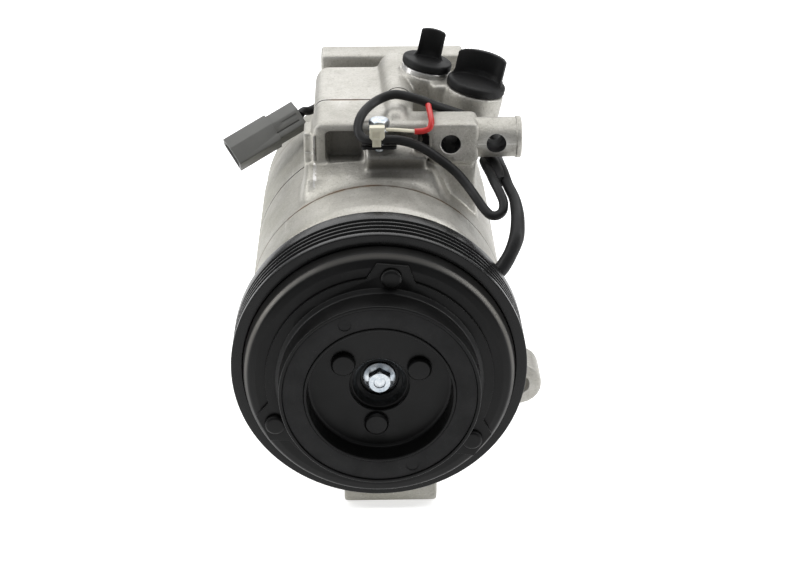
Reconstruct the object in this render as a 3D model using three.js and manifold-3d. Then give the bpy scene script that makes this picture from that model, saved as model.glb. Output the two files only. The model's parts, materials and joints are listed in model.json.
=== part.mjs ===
// Automotive air-conditioning compressor: a ten-cylinder swash-plate pump in four castings, with a
// rubber-damped magnetic clutch and a four-groove belt pulley on its front.
// Millimetres, +Z up. The drive shaft lies along +Y. Pieces are laid out on the shaft's own axes,
// with y = 0 at the pulley's front rim, and the outer group stands the part on its two lower bosses.

import * as THREE from 'three';
import { mergeVertices } from 'three/addons/utils/BufferGeometryUtils.js';
import Module from 'manifold-3d';

const wasm = await Module();
wasm.setup();

// ---------------------------------------------------------------- driving dimensions

const GAP = 0.3;

// Castings: the body's radius and the places along the shaft where one casting meets the next.
const BODY_RADIUS = 56.7;
const HOUSING_FACE = 27;
const SHOULDER_FRONT = 35;
const SHOULDER_BACK = 41;
const FRONT_JOINT = 63.4;
const MIDDLE_JOINT = 112;
const REAR_JOINT = 165;
const BODY_BACK = 192;
const REAR_RADIUS = 56.1;
const NOSE_FRONT = 2;
const NOSE_RADIUS = 17.5;
const SHAFT_BORE = 13;

// Pump: five double-ended pistons around the shaft, driven by one tilted plate.
const CYLINDERS = 5;
const STEP_ANGLE = (2 * Math.PI) / CYLINDERS;
const FIRST_PISTON = Math.PI / 2;
const PISTON_PITCH = 34;
const PISTON_RADIUS = 14.3;
const BORE_RADIUS = 14.6;
const PISTON_HALF = 37.5;
const PISTON_NECK = 20.8;
const PLATE_Y = (FRONT_JOINT + REAR_JOINT) / 2;
const PLATE_RADIUS = 41;
const PLATE_THICK = 7.2;
const PLATE_TILT = THREE.MathUtils.degToRad(17);
const PLATE_BOSS = 16;
const CRANK_HALF = 20.6;
const CRANK_RADIUS = 50;
const SHOE_FLAT = 16.8;
const SHOE_RADIUS = 6;
const SHAFT_RADIUS = 9.5;
const SHAFT_NOSE_RADIUS = 7;
const SHAFT_FRONT = -3.3;
const SHAFT_BACK = 159;
const THROUGH_BOLT_PITCH = 46;
const THROUGH_BOLT_RADIUS = 3;
const THROUGH_HOLE_RADIUS = 3.4;
const VALVE_PLATE_RADIUS = 51.7;
const VALVE_PLATE_THICK = 2.8;
const VALVE_RECESS = 3.4;

// Pulley and clutch.
const PULLEY_RADIUS = 62.06;
const PULLEY_BACK = 23.5;
const PULLEY_WELL_RADIUS = 51;
const GROOVES = 4;
const GROOVE_PITCH = 3.56;
const FIRST_GROOVE = 3.9;
const GROOVE_FLOOR = 59.4;
const FRICTION_FACE = 1.6;
const BEARING_OUTSIDE = 26;
const ARMATURE_RADIUS = 57;
const ARMATURE_FRONT = -3.3;
const ARMATURE_BACK = 1;
const FLANGE_FRONT = -4.8;
const FLANGE_RADIUS = 47.5;
const LOBE_RADIUS = 52.8;
const LOBE_OUTER_WIDTH = 12.6;
const LOBE_BASE_WIDTH = 20.3;
const FIRST_LOBE = THREE.MathUtils.degToRad(85.4);
const ARMATURE_RIVET_PITCH = 49;
const CUP_FRONT = -23;
const CUP_OUTSIDE = 41.3;
const CUP_OPENING = 29.9;
const CUP_FLOOR = -12.7;
const FIRST_HUB_RIVET = THREE.MathUtils.degToRad(25.5);
const HUB_RIVET_PITCH = 18;
const RIVET_SHANK = 3;
const RIVET_HOLE = 3.3;
const THIRD_TURN = (2 * Math.PI) / 3;

// Mounting bosses: all lie along X, but the ear on the right lies along Y.
const BOSS_RADIUS = 9.3;
const BOSS_BORE = 4.4;
const UPPER_BOSS_Z = 70.6;
const BAR_HALF_DEPTH = 8;
const BAR_TOP = 80.2;
const BAR_BOTTOM = 61.5;
const BAR_CORNER = 3;
const FRONT_BOSS_Y = 85;
const REAR_BAR_Y = 179.5;
const FOOT_Z = -82.2;
const FRONT_FOOT_Y = 42;
const REAR_FOOT_Y = 178;
const FOOT_LEFT = -16;
const FOOT_RIGHT = 26.4;
const EAR = { x: 63, z: -30, front: 38, back: 57, radius: 10.2 };

// Saddle: the flat-topped block that both cylinder castings carry.
const SADDLE_TOP = 78.9;
const SADDLE_FRONT = 82;
const SADDLE_BACK = 160;
const SADDLE_LEFT = -28.3;
const SADDLE_RIGHT = 24;
const SADDLE_CORNER = 8;
const LEDGE = { left: -26, right: 24, top: 62.4, front: 73.5, foot: 66 };
const PEDESTAL = { left: -32.3, front: 84.5, back: 100, top: 73.3 };
const RIDGE = { x: 10.5, z: 77.6, radius: 7, front: 94.4 };
const SIDE_BASE_TOP = 66;
const SIDE_BASE_RIGHT = 46;

// Ports lean to the right, and their turrets stand on the saddle and its side base.
const PORT_TILT = THREE.MathUtils.degToRad(12);
const SMALL_PORT = { x: 24.6, y: 135, z: 88.3, turret: 12, bore: 5.6, plug: 11.7 };
const LARGE_PORT = { x: 46.8, y: 122, z: 81.5, turret: 13.6, bore: 9.6, plug: 13.7 };
const TURRET_DROP = 1.5;
const PLUG_TOP = 2.7;
const SMALL_TAB = { radius: 5.8, wall: 2.2, height: 13, start: -6, end: 182 };
const LARGE_TAB = { radius: 11.5, wall: 2.4, height: 11.5, start: -28, end: 166 };

// Leads and what is on them.
const SLEEVE_RADIUS = 3.2;
const LEAD_RADIUS = 2.1;
const FUSE_SLEEVE_RADIUS = 1.4;
const FUSE_WIRE_RADIUS = 0.8;
const CLAMP_BOLT = { x: 1.4, y: 77.2 };
const CONNECTOR = { x: -37, y: 154, z: 55.6, length: 38.3 };
const CONNECTOR_AXIS = new THREE.Vector3(-0.849, -0.349, -0.399).normalize();
const CONNECTOR_TOP = new THREE.Vector3(-0.1363, -0.5834, 0.801);

// The part stands on its feet, with its origin under the middle of its box.
const BOX_LEFT = -PULLEY_RADIUS;
const BOX_RIGHT = EAR.x + EAR.radius;
const BOLT_HEAD_BACK = BODY_BACK + 5.6;
const ORIGIN = new THREE.Vector3(
  -(BOX_LEFT + BOX_RIGHT) / 2,
  -(CUP_FRONT + BOLT_HEAD_BACK) / 2,
  BOSS_RADIUS - FOOT_Z,
);

// Facets round a circle.
const COARSE = 8;
const SMALL = 10;
const MEDIUM = 20;
const LARGE = 32;

// ---------------------------------------------------------------- materials

function finish(color, roughness, metalness) {
  return new THREE.MeshStandardMaterial({ color, roughness, metalness });
}

const castAluminium = finish(0xb9b6af, 0.55, 0.85);
const machinedAluminium = finish(0xc8c6c1, 0.4, 0.9);
const steel = finish(0x9a9a98, 0.35, 0.95);
const zincSteel = finish(0xc4ccd2, 0.3, 0.9);
const blackPaint = finish(0x1d1d1f, 0.38, 0.3);
const blackRubber = finish(0x1b1b1b, 0.75, 0);
const coilResin = finish(0x3a3a3c, 0.6, 0.2);
const bearingSteel = finish(0xa8a9aa, 0.25, 1);
const sealRubber = finish(0x202020, 0.8, 0);
const cableSleeve = finish(0x2b2b2c, 0.6, 0);
const connectorPlastic = finish(0x646462, 0.55, 0);
const clipPlastic = finish(0xebe6cd, 0.5, 0);
const fuseSleeve = finish(0xd7282a, 0.5, 0);
const clampSteel = finish(0x2c2c2b, 0.45, 0.6);

// ---------------------------------------------------------------- solids

function signedVolume(position, index) {
  const [a, b, c] = [new THREE.Vector3(), new THREE.Vector3(), new THREE.Vector3()];
  let volume = 0;
  for (let i = 0; i < index.length; i += 3) {
    a.fromArray(position, 3 * index[i]);
    b.fromArray(position, 3 * index[i + 1]);
    c.fromArray(position, 3 * index[i + 2]);
    volume += a.dot(b.cross(c)) / 6;
  }
  return volume;
}

// A closed geometry as a solid: corners merged, collapsed triangles dropped and faces turned out.
function solid(geometry, matrix) {
  const bare = geometry.index ? geometry.toNonIndexed() : geometry.clone();
  bare.deleteAttribute('normal');
  bare.deleteAttribute('uv');
  if (matrix) bare.applyMatrix4(matrix);
  const merged = mergeVertices(bare, 1e-4);
  const position = merged.attributes.position.array;
  const source = merged.index.array;
  const index = [];
  for (let i = 0; i < source.length; i += 3) {
    const [a, b, c] = [source[i], source[i + 1], source[i + 2]];
    if (a !== b && b !== c && c !== a) index.push(a, b, c);
  }
  if (signedVolume(position, index) < 0) index.reverse();
  return new wasm.Manifold(
    new wasm.Mesh({ numProp: 3, vertProperties: position, triVerts: new Uint32Array(index) }),
  );
}

function joined(...solids) {
  return solids.reduce((whole, next) => whole.add(next));
}

function cut(whole, ...tools) {
  return tools.reduce((left, tool) => left.subtract(tool), whole);
}

// A profile of [radius, y] points turned about the shaft's axis.
function turned(profile, segments = MEDIUM) {
  return solid(new THREE.LatheGeometry(profile.map(([r, y]) => new THREE.Vector2(r, y)), segments));
}

// A turned ring: its profile is closed back to where it starts.
function ring(profile, segments = MEDIUM) {
  return turned([...profile, profile[0]], segments);
}

// A tube's ring between two radii and two places along the shaft.
function washer(inside, outside, front, back, segments = MEDIUM) {
  return ring([[inside, front], [outside, front], [outside, back], [inside, back]], segments);
}

function block(x0, x1, y0, y1, z0, z1) {
  const box = new THREE.BoxGeometry(x1 - x0, y1 - y0, z1 - z0);
  box.translate((x0 + x1) / 2, (y0 + y1) / 2, (z0 + z1) / 2);
  return solid(box);
}

function rodX(x0, x1, y, z, radius, segments = MEDIUM) {
  const rod = new THREE.CylinderGeometry(radius, radius, x1 - x0, segments);
  rod.rotateZ(Math.PI / 2);
  rod.translate((x0 + x1) / 2, y, z);
  return solid(rod);
}

function rodY(y0, y1, x, z, radius, segments = MEDIUM) {
  const rod = new THREE.CylinderGeometry(radius, radius, y1 - y0, segments);
  rod.translate(x, (y0 + y1) / 2, z);
  return solid(rod);
}

function rodZ(z0, z1, x, y, radius, segments = MEDIUM) {
  const rod = new THREE.CylinderGeometry(radius, radius, z1 - z0, segments);
  rod.rotateX(Math.PI / 2);
  rod.translate(x, y, (z0 + z1) / 2);
  return solid(rod);
}

// Rods along the shaft, one at each of the given angles round it.
function rodsRound(pitch, angles, radius, front, back, segments = SMALL) {
  const rods = angles.map((angle) => {
    const [x, z] = [pitch * Math.cos(angle), pitch * Math.sin(angle)];
    return rodY(front, back, x, z, radius, segments);
  });
  return joined(...rods);
}

// A flat outline in X and Y, raised from z0 to z1.
function raised(points, z0, z1) {
  const outline = new THREE.Shape(points.map(([x, y]) => new THREE.Vector2(x, y)));
  const plate = new THREE.ExtrudeGeometry(outline, { depth: z1 - z0, bevelEnabled: false });
  plate.translate(0, 0, z0);
  return solid(plate);
}

// A flat outline in Y and Z, raised along X from x0 to x1.
function across(points, x0, x1) {
  const outline = new THREE.Shape(points.map(([y, z]) => new THREE.Vector2(y, z)));
  const plate = new THREE.ExtrudeGeometry(outline, { depth: x1 - x0, bevelEnabled: false });
  const axes = [new THREE.Vector3(0, 1, 0), new THREE.Vector3(0, 0, 1), new THREE.Vector3(1, 0, 0)];
  plate.applyMatrix4(new THREE.Matrix4().makeBasis(...axes));
  plate.translate(x0, 0, 0);
  return solid(plate);
}

// A round cord along a smooth curve through its points.
function cord(points, radius, sides = 8) {
  const path = new THREE.CatmullRomCurve3(points.map((point) => new THREE.Vector3(...point)));
  const section = new THREE.Shape();
  for (let side = 0; side < sides; side += 1) {
    const angle = (2 * Math.PI * side) / sides;
    const [x, y] = [radius * Math.cos(angle), radius * Math.sin(angle)];
    if (side === 0) section.moveTo(x, y);
    else section.lineTo(x, y);
  }
  const steps = Math.max(4, Math.round(path.getLength() / (5 * radius)));
  return solid(new THREE.ExtrudeGeometry(section, { steps, extrudePath: path, bevelEnabled: false }));
}

// ---------------------------------------------------------------- scene graph

const compressor = new THREE.Group();
compressor.position.copy(ORIGIN);

function place(name, shape, material, parent = compressor) {
  const { vertProperties, triVerts } = shape.getMesh();
  const geometry = new THREE.BufferGeometry();
  geometry.setAttribute('position', new THREE.BufferAttribute(new Float32Array(vertProperties), 3));
  geometry.setIndex(new THREE.BufferAttribute(new Uint32Array(triVerts), 1));
  geometry.computeVertexNormals();
  const mesh = new THREE.Mesh(geometry, material);
  mesh.name = name;
  parent.add(mesh);
  return mesh;
}

function anglesFrom(first, step, count) {
  return Array.from({ length: count }, (_, i) => first + i * step);
}

const pistonAngles = anglesFrom(FIRST_PISTON, STEP_ANGLE, CYLINDERS);
const boltAngles = anglesFrom(FIRST_PISTON + STEP_ANGLE / 2, STEP_ANGLE, CYLINDERS);
const lobeAngles = anglesFrom(FIRST_LOBE, THIRD_TURN, 3);
const hubRivetAngles = anglesFrom(FIRST_HUB_RIVET, THIRD_TURN, 3);

// ---------------------------------------------------------------- castings

function throughBoltHoles(front, back) {
  return rodsRound(THROUGH_BOLT_PITCH, boltAngles, THROUGH_HOLE_RADIUS, front, back, COARSE);
}

function foot(y) {
  const boss = rodX(FOOT_LEFT, FOOT_RIGHT, y, FOOT_Z, BOSS_RADIUS);
  const web = block(FOOT_LEFT + 5, FOOT_RIGHT - 5, y - 5, y + 5, FOOT_Z, -BODY_RADIUS + 6);
  return joined(boss, web);
}

function footBore(y) {
  return rodX(FOOT_LEFT - 1, FOOT_RIGHT + 1, y, FOOT_Z, BOSS_BORE, SMALL);
}

function frontHousing() {
  const back = FRONT_JOINT - GAP / 2;
  const floor = back - VALVE_RECESS;
  const shell = ring([
    [SHAFT_BORE, NOSE_FRONT],
    [NOSE_RADIUS, NOSE_FRONT],
    [NOSE_RADIUS, HOUSING_FACE],
    [50, HOUSING_FACE],
    [50, 33],
    [53, SHOULDER_FRONT],
    [BODY_RADIUS, SHOULDER_BACK],
    [BODY_RADIUS, back],
    [VALVE_PLATE_RADIUS + GAP, back],
    [VALVE_PLATE_RADIUS + GAP, floor],
    [SHAFT_BORE, floor],
  ], LARGE);
  const earBoss = rodY(EAR.front, EAR.back, EAR.x, EAR.z, EAR.radius);
  const earWeb = block(46, EAR.x, 42, 55, EAR.z - 7.5, EAR.z + 7.5);
  const chamber = washer(20, 41, 46, floor + 1);
  return cut(
    joined(shell, earBoss, cut(earWeb, rodY(30, 70, 0, 0, 50)), cut(foot(FRONT_FOOT_Y), rodY(30, 70, 0, 0, 50))),
    chamber,
    rodY(EAR.front - 1, EAR.back + 1, EAR.x, EAR.z, BOSS_BORE, SMALL),
    footBore(FRONT_FOOT_Y),
    throughBoltHoles(48.5, FRONT_JOINT + 1),
  );
}

// The saddle's left corner is cut back at the rear by the given length.
function saddle(front, back, corner = 0) {
  const outline = [
    [SADDLE_LEFT, front],
    [SADDLE_RIGHT, front],
    [SADDLE_RIGHT, back],
    [SADDLE_LEFT + corner, back],
    [SADDLE_LEFT + 0.3 * corner, back - 0.3 * corner],
    [SADDLE_LEFT, back - corner],
  ];
  return raised(corner > 0 ? outline : [...outline.slice(0, 3), [SADDLE_LEFT, back]], 40, SADDLE_TOP);
}

// The slope from the front joint up to the ledge at the saddle's foot.
function ledge() {
  return across([
    [LEDGE.foot, 48],
    [SADDLE_FRONT + 2, 48],
    [SADDLE_FRONT + 2, LEDGE.top],
    [LEDGE.front, LEDGE.top],
    [LEDGE.front - 3.5, LEDGE.top - 4.5],
    [LEDGE.foot, 55.6],
  ], LEDGE.left, LEDGE.right);
}

// What is hollow inside a cylinder casting between its valve plate and the middle joint.
function cylinderHollows(valveEnd, crankStart, middleEnd) {
  const [boreFront, boreBack] = [Math.min(valveEnd, middleEnd) - 1, Math.max(valveEnd, middleEnd) + 1];
  const [crankFront, crankBack] = [Math.min(crankStart, middleEnd), Math.max(crankStart, middleEnd)];
  return joined(
    rodsRound(PISTON_PITCH, pistonAngles, BORE_RADIUS, boreFront, boreBack, MEDIUM),
    rodY(crankFront, crankBack, 0, 0, CRANK_RADIUS, LARGE),
    rodY(boreFront, boreBack, 0, 0, SHAFT_BORE - 0.2, MEDIUM),
    throughBoltHoles(boreFront, boreBack),
  );
}

function frontMount() {
  const body = block(23.8, 45.5, 76, 93.6, 61.3, 80.2);
  const web = block(26, 44, 78, 96, 34, 62);
  const tube = rodX(45, 64.7, FRONT_BOSS_Y, UPPER_BOSS_Z, BOSS_RADIUS);
  const crossHoles = [33, 53.2].map((x) => rodY(70, 100, x, UPPER_BOSS_Z, BOSS_BORE, SMALL));
  return { whole: joined(body, web, tube), holes: crossHoles };
}

function frontCylinderBlock() {
  const front = FRONT_JOINT + GAP / 2;
  const back = MIDDLE_JOINT - GAP / 2;
  const mount = frontMount();
  const outside = joined(
    rodY(front, back, 0, 0, BODY_RADIUS, LARGE),
    saddle(SADDLE_FRONT, back),
    ledge(),
    block(PEDESTAL.left, SADDLE_LEFT + 1, PEDESTAL.front, PEDESTAL.back, 44, PEDESTAL.top),
    block(20, SIDE_BASE_RIGHT, 93, back, 30, SIDE_BASE_TOP),
    block(-6, 22, 71.5, 84, 50, 66),
    rodY(RIDGE.front, back, RIDGE.x, RIDGE.z, RIDGE.radius),
    solid(new THREE.SphereGeometry(RIDGE.radius, MEDIUM, COARSE), new THREE.Matrix4()
      .makeTranslation(RIDGE.x, RIDGE.front, RIDGE.z)),
    mount.whole,
  );
  const pocket = block(-22, 22, 80, 89, 66.3, 74.5);
  const pocketLeft = block(-22, -6.3, 80, 89, 61, 74.5);
  return cut(
    outside,
    pocket,
    pocketLeft,
    rodX(20, 66, FRONT_BOSS_Y, UPPER_BOSS_Z, BOSS_BORE, SMALL),
    ...mount.holes,
    rodZ(57, 67, CLAMP_BOLT.x, CLAMP_BOLT.y, 2.9, COARSE),
    cylinderHollows(FRONT_JOINT, PLATE_Y - CRANK_HALF, MIDDLE_JOINT),
  );
}

function rearCylinderBlock() {
  const front = MIDDLE_JOINT + GAP / 2;
  const back = REAR_JOINT - GAP / 2;
  const outside = joined(
    rodY(front, back, 0, 0, BODY_RADIUS, LARGE),
    saddle(front, SADDLE_BACK, SADDLE_CORNER),
    block(20, SIDE_BASE_RIGHT, front, SADDLE_BACK, 30, SIDE_BASE_TOP),
    rodY(front, SADDLE_BACK, RIDGE.x, RIDGE.z, RIDGE.radius),
  );
  return cut(outside, cylinderHollows(REAR_JOINT, PLATE_Y + CRANK_HALF, MIDDLE_JOINT));
}

function rearHousing() {
  const front = REAR_JOINT + GAP / 2;
  const cap = turned([
    [0, front],
    [REAR_RADIUS, front],
    [REAR_RADIUS, BODY_BACK - 6],
    [REAR_RADIUS - 5, BODY_BACK],
    [0, BODY_BACK],
  ], LARGE);
  const [barFront, barBack] = [REAR_BAR_Y - BAR_HALF_DEPTH, REAR_BAR_Y + BAR_HALF_DEPTH];
  const bar = across([
    [barFront + BAR_CORNER, BAR_BOTTOM],
    [barBack - BAR_CORNER, BAR_BOTTOM],
    [barBack, BAR_BOTTOM + BAR_CORNER],
    [barBack, BAR_TOP - BAR_CORNER],
    [barBack - BAR_CORNER, BAR_TOP],
    [barFront + BAR_CORNER, BAR_TOP],
    [barFront, BAR_TOP - BAR_CORNER],
    [barFront, BAR_BOTTOM + BAR_CORNER],
  ], -26, 44);
  const barWeb = block(-20, 38, REAR_BAR_Y - 7, REAR_BAR_Y + 7, 40, UPPER_BOSS_Z);
  return cut(
    joined(cap, bar, barWeb, foot(REAR_FOOT_Y)),
    rodY(front - 1, front + VALVE_RECESS, 0, 0, VALVE_PLATE_RADIUS + GAP, LARGE),
    rodY(front, 183, 0, 0, 25),
    washer(29, 41, front, 183),
    rodX(-28, 46, REAR_BAR_Y, UPPER_BOSS_Z, BOSS_BORE, SMALL),
    footBore(REAR_FOOT_Y),
    throughBoltHoles(front - 1, BODY_BACK + 1),
  );
}

// A plate with a delivery port and a suction port for each cylinder.
function valvePlate(front, shaftHole) {
  const back = front + VALVE_PLATE_THICK;
  const plate = rodY(front, back, 0, 0, VALVE_PLATE_RADIUS, LARGE);
  const holes = [
    rodsRound(PISTON_PITCH - 7, pistonAngles, 2.4, front - 1, back + 1, 8),
    rodsRound(PISTON_PITCH + 6, pistonAngles, 2.4, front - 1, back + 1, 8),
    throughBoltHoles(front - 1, back + 1),
  ];
  if (shaftHole) holes.push(rodY(front - 1, back + 1, 0, 0, SHAFT_RADIUS + 1, SMALL));
  return cut(plate, ...holes);
}

// ---------------------------------------------------------------- ports

// A frame with its Z along a port's axis and its origin at the turret's top.
function portFrame(port) {
  const tilt = new THREE.Matrix4().makeRotationY(PORT_TILT);
  return new THREE.Matrix4().makeTranslation(port.x, port.y, port.z).multiply(tilt);
}

function standing(radius, bottom, top, segments = MEDIUM) {
  const rod = new THREE.CylinderGeometry(radius, radius, top - bottom, segments);
  rod.rotateX(Math.PI / 2);
  rod.translate(0, 0, (bottom + top) / 2);
  return rod;
}

function portManifold() {
  const small = solid(standing(SMALL_PORT.turret, -14, -TURRET_DROP), portFrame(SMALL_PORT));
  const large = solid(standing(LARGE_PORT.turret, -26, -TURRET_DROP), portFrame(LARGE_PORT));
  const bridge = block(16, 45, 110, 146, SIDE_BASE_TOP + GAP, 79.6);
  const column = rodZ(SIDE_BASE_TOP + GAP, 80.7, 34, 124.5, 8, SMALL);
  const bores = [SMALL_PORT, LARGE_PORT].map((port) => (
    solid(standing(port.bore, -11, 1), portFrame(port))
  ));
  return cut(
    joined(small, large, bridge, column),
    ...bores,
    block(-30, SADDLE_RIGHT + GAP, 100, 170, 40, SADDLE_TOP + GAP),
    block(10, SIDE_BASE_RIGHT + GAP, 90, 170, 40, SIDE_BASE_TOP + GAP),
    rodY(80, 170, RIDGE.x, RIDGE.z, RIDGE.radius + GAP),
  );
}

// A rubber plug: a stub in the port, a round flange on it, and a curved tab to pull it by.
function portPlug(port, tab) {
  const frame = portFrame(port);
  const stub = solid(standing(port.bore - GAP, -9, 1), frame);
  const flange = solid(standing(port.plug, GAP - TURRET_DROP, PLUG_TOP), frame);
  const arc = new THREE.Shape();
  const [start, end] = [tab.start, tab.end].map((angle) => THREE.MathUtils.degToRad(angle));
  arc.absarc(0, 0, tab.radius, start, end, false);
  arc.absarc(0, 0, tab.radius - tab.wall, end, start, true);
  const wall = new THREE.ExtrudeGeometry(arc, { depth: tab.height + 1, bevelEnabled: false, curveSegments: SMALL });
  wall.translate(0, 0, PLUG_TOP - 1);
  return joined(stub, flange, solid(wall, frame));
}

// ---------------------------------------------------------------- pump

function driveShaft() {
  return turned([
    [0, 14.5],
    [3.3, 14.5],
    [3.3, SHAFT_FRONT],
    [SHAFT_NOSE_RADIUS, SHAFT_FRONT],
    [SHAFT_NOSE_RADIUS, NOSE_FRONT],
    [SHAFT_RADIUS, NOSE_FRONT + 1],
    [SHAFT_RADIUS, SHAFT_BACK - 1],
    [SHAFT_RADIUS - 1, SHAFT_BACK],
    [0, SHAFT_BACK],
  ]);
}

// About its own middle: the tilted plate on its boss.
function swashPlate() {
  const plate = new THREE.CylinderGeometry(PLATE_RADIUS, PLATE_RADIUS, PLATE_THICK, LARGE);
  plate.rotateX(PLATE_TILT);
  const boss = rodY(-PLATE_BOSS, PLATE_BOSS, 0, 0, 14, MEDIUM);
  return cut(joined(solid(plate), boss), rodY(-PLATE_BOSS - 1, PLATE_BOSS + 1, 0, 0, SHAFT_RADIUS + GAP));
}

// About its own middle, with the shaft's axis on its -X side: two heads joined by an outer neck.
function piston() {
  const body = rodY(-PISTON_HALF, PISTON_HALF, 0, 0, PISTON_RADIUS);
  const waist = rodY(-PISTON_NECK, PISTON_NECK, -PISTON_PITCH, 0, PLATE_RADIUS + 1.3, LARGE);
  const pockets = [-SHOE_FLAT, SHOE_FLAT].map((y) => solid(
    new THREE.SphereGeometry(SHOE_RADIUS + GAP, SMALL, COARSE),
    new THREE.Matrix4().makeTranslation(0, y, 0),
  ));
  return cut(body, waist, ...pockets);
}

// A half ball with its flat face on the swash plate's side, which is at y = 0.
function shoe() {
  const steps = 3;
  const dome = Array.from({ length: steps + 1 }, (_, i) => {
    const angle = (i / steps) * (Math.PI / 2);
    return [SHOE_RADIUS * Math.cos(angle), SHOE_RADIUS * Math.sin(angle)];
  });
  dome[steps][0] = 0;
  return turned([[0, 0], ...dome], SMALL);
}

function throughBolt() {
  return turned([
    [0, 50],
    [THROUGH_BOLT_RADIUS, 50],
    [THROUGH_BOLT_RADIUS, BODY_BACK + GAP],
    [5.2, BODY_BACK + GAP],
    [5.2, BOLT_HEAD_BACK],
    [0, BOLT_HEAD_BACK],
  ], COARSE);
}

// ---------------------------------------------------------------- pulley and clutch

function pulley() {
  const grooves = [];
  for (let i = 0; i < GROOVES; i += 1) {
    const middle = FIRST_GROOVE + i * GROOVE_PITCH;
    grooves.push(
      [PULLEY_RADIUS, middle - 1.3],
      [GROOVE_FLOOR, middle - 0.35],
      [GROOVE_FLOOR, middle + 0.35],
      [PULLEY_RADIUS, middle + 1.3],
    );
  }
  return ring([
    [BEARING_OUTSIDE + GAP, FRICTION_FACE],
    [57.4, FRICTION_FACE],
    [57.8, 0],
    [61.5, 0],
    [PULLEY_RADIUS, 0.6],
    ...grooves,
    [PULLEY_RADIUS, PULLEY_BACK],
    [PULLEY_WELL_RADIUS, PULLEY_BACK],
    [PULLEY_WELL_RADIUS, 5.2],
    [29.5, 5.2],
    [29.5, PULLEY_BACK],
    [BEARING_OUTSIDE + GAP, PULLEY_BACK],
  ], LARGE);
}

function clutchCoil() {
  const coil = ring([
    [31, 6],
    [49.9, 6],
    [49.9, HOUSING_FACE - GAP],
    [NOSE_RADIUS + GAP, HOUSING_FACE - GAP],
    [NOSE_RADIUS + GAP, 24.4],
    [31, 24.4],
  ], LARGE);
  const outlet = new THREE.BoxGeometry(5, 2.7, 8);
  outlet.translate(48.4, HOUSING_FACE - GAP - 1.35, 0);
  outlet.rotateY(-Math.PI / 6);
  return coil.add(solid(outlet));
}

function armaturePlate() {
  const plate = ring([
    [24, ARMATURE_FRONT],
    [54.3, ARMATURE_FRONT],
    [56.2, ARMATURE_FRONT + 1],
    [ARMATURE_RADIUS, ARMATURE_FRONT + 2.4],
    [ARMATURE_RADIUS, ARMATURE_BACK],
    [24, ARMATURE_BACK],
  ], LARGE);
  return cut(plate, rodsRound(ARMATURE_RIVET_PITCH, lobeAngles, RIVET_HOLE, -10, 10, COARSE));
}

// A sheet ring with three straight-edged lobes, drawn up into a wall round the rubber.
function outerHub() {
  const outline = new THREE.Shape();
  const baseHalf = Math.asin(LOBE_BASE_WIDTH / 2 / FLANGE_RADIUS);
  const outerHalf = Math.atan(LOBE_OUTER_WIDTH / 2 / LOBE_RADIUS);
  const outerReach = Math.hypot(LOBE_RADIUS, LOBE_OUTER_WIDTH / 2);
  const arcSteps = 10;
  for (const lobe of lobeAngles) {
    for (const side of [-outerHalf, outerHalf]) {
      const angle = lobe + side;
      const corner = [outerReach * Math.cos(angle), outerReach * Math.sin(angle)];
      if (lobe === lobeAngles[0] && side < 0) outline.moveTo(...corner);
      else outline.lineTo(...corner);
    }
    for (let i = 0; i <= arcSteps; i += 1) {
      const angle = lobe + baseHalf + ((THIRD_TURN - 2 * baseHalf) * i) / arcSteps;
      outline.lineTo(FLANGE_RADIUS * Math.cos(angle), FLANGE_RADIUS * Math.sin(angle));
    }
  }
  const thickness = ARMATURE_FRONT - GAP - FLANGE_FRONT;
  const sheet = new THREE.ExtrudeGeometry(outline, { depth: thickness, bevelEnabled: false });
  sheet.rotateX(Math.PI / 2);
  sheet.translate(0, ARMATURE_FRONT - GAP, 0);
  const wall = washer(CUP_OUTSIDE - 1.4, CUP_OUTSIDE, CUP_FRONT, FLANGE_FRONT + 0.2, LARGE);
  return cut(
    solid(sheet),
    rodY(-10, 0, 0, 0, CUP_OUTSIDE - 1.4, LARGE),
    rodsRound(ARMATURE_RIVET_PITCH, lobeAngles, RIVET_HOLE, -10, 10, COARSE),
  ).add(wall);
}

function rubberDamper() {
  return washer(CUP_OPENING + 1.4, CUP_OUTSIDE - 1.7, CUP_FRONT + 0.5, CUP_FLOOR - 0.5, LARGE);
}

function hubCup() {
  const cup = ring([
    [CUP_OPENING, CUP_FRONT + 0.1],
    [CUP_OPENING + 1.1, CUP_FRONT + 0.1],
    [CUP_OPENING + 1.1, CUP_FLOOR + 1.4],
    [12.4, CUP_FLOOR + 1.4],
    [12.4, CUP_FLOOR],
    [CUP_OPENING, CUP_FLOOR],
  ], LARGE);
  return cut(cup, rodsRound(HUB_RIVET_PITCH, hubRivetAngles, RIVET_HOLE, -20, 0, COARSE));
}

function innerHub() {
  const hub = ring([
    [3.4, -5.7],
    [8.2, -5.7],
    [8.2, -9.4],
    [11.9, -11],
    [24, -11],
    [24, -8],
    [11.5, -8],
    [11.5, 1.2],
    [SHAFT_NOSE_RADIUS + GAP, 1.2],
    [SHAFT_NOSE_RADIUS + GAP, SHAFT_FRONT - GAP],
    [3.4, SHAFT_FRONT - GAP],
  ]);
  return cut(hub, rodsRound(HUB_RIVET_PITCH, hubRivetAngles, RIVET_HOLE, -20, 0, COARSE));
}

// A rivet along the shaft: its head's front, the face under its head, and its tail.
function rivet(headFront, headBack, headRadius, tail) {
  return turned([
    [0, headFront],
    [headRadius - 0.8, headFront],
    [headRadius, headFront + 0.6],
    [headRadius, headBack],
    [RIVET_SHANK, headBack],
    ...tail,
  ], SMALL);
}

function hubBolt() {
  const hex = new THREE.CylinderGeometry(5.1, 5.1, 4.3, 6);
  hex.translate(0, -9.35, 0);
  return joined(
    solid(hex),
    rodY(-7.4, -6, 0, 0, 6.8),
    rodY(-6.5, 12, 0, 0, 3, COARSE),
  );
}

// ---------------------------------------------------------------- leads

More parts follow.
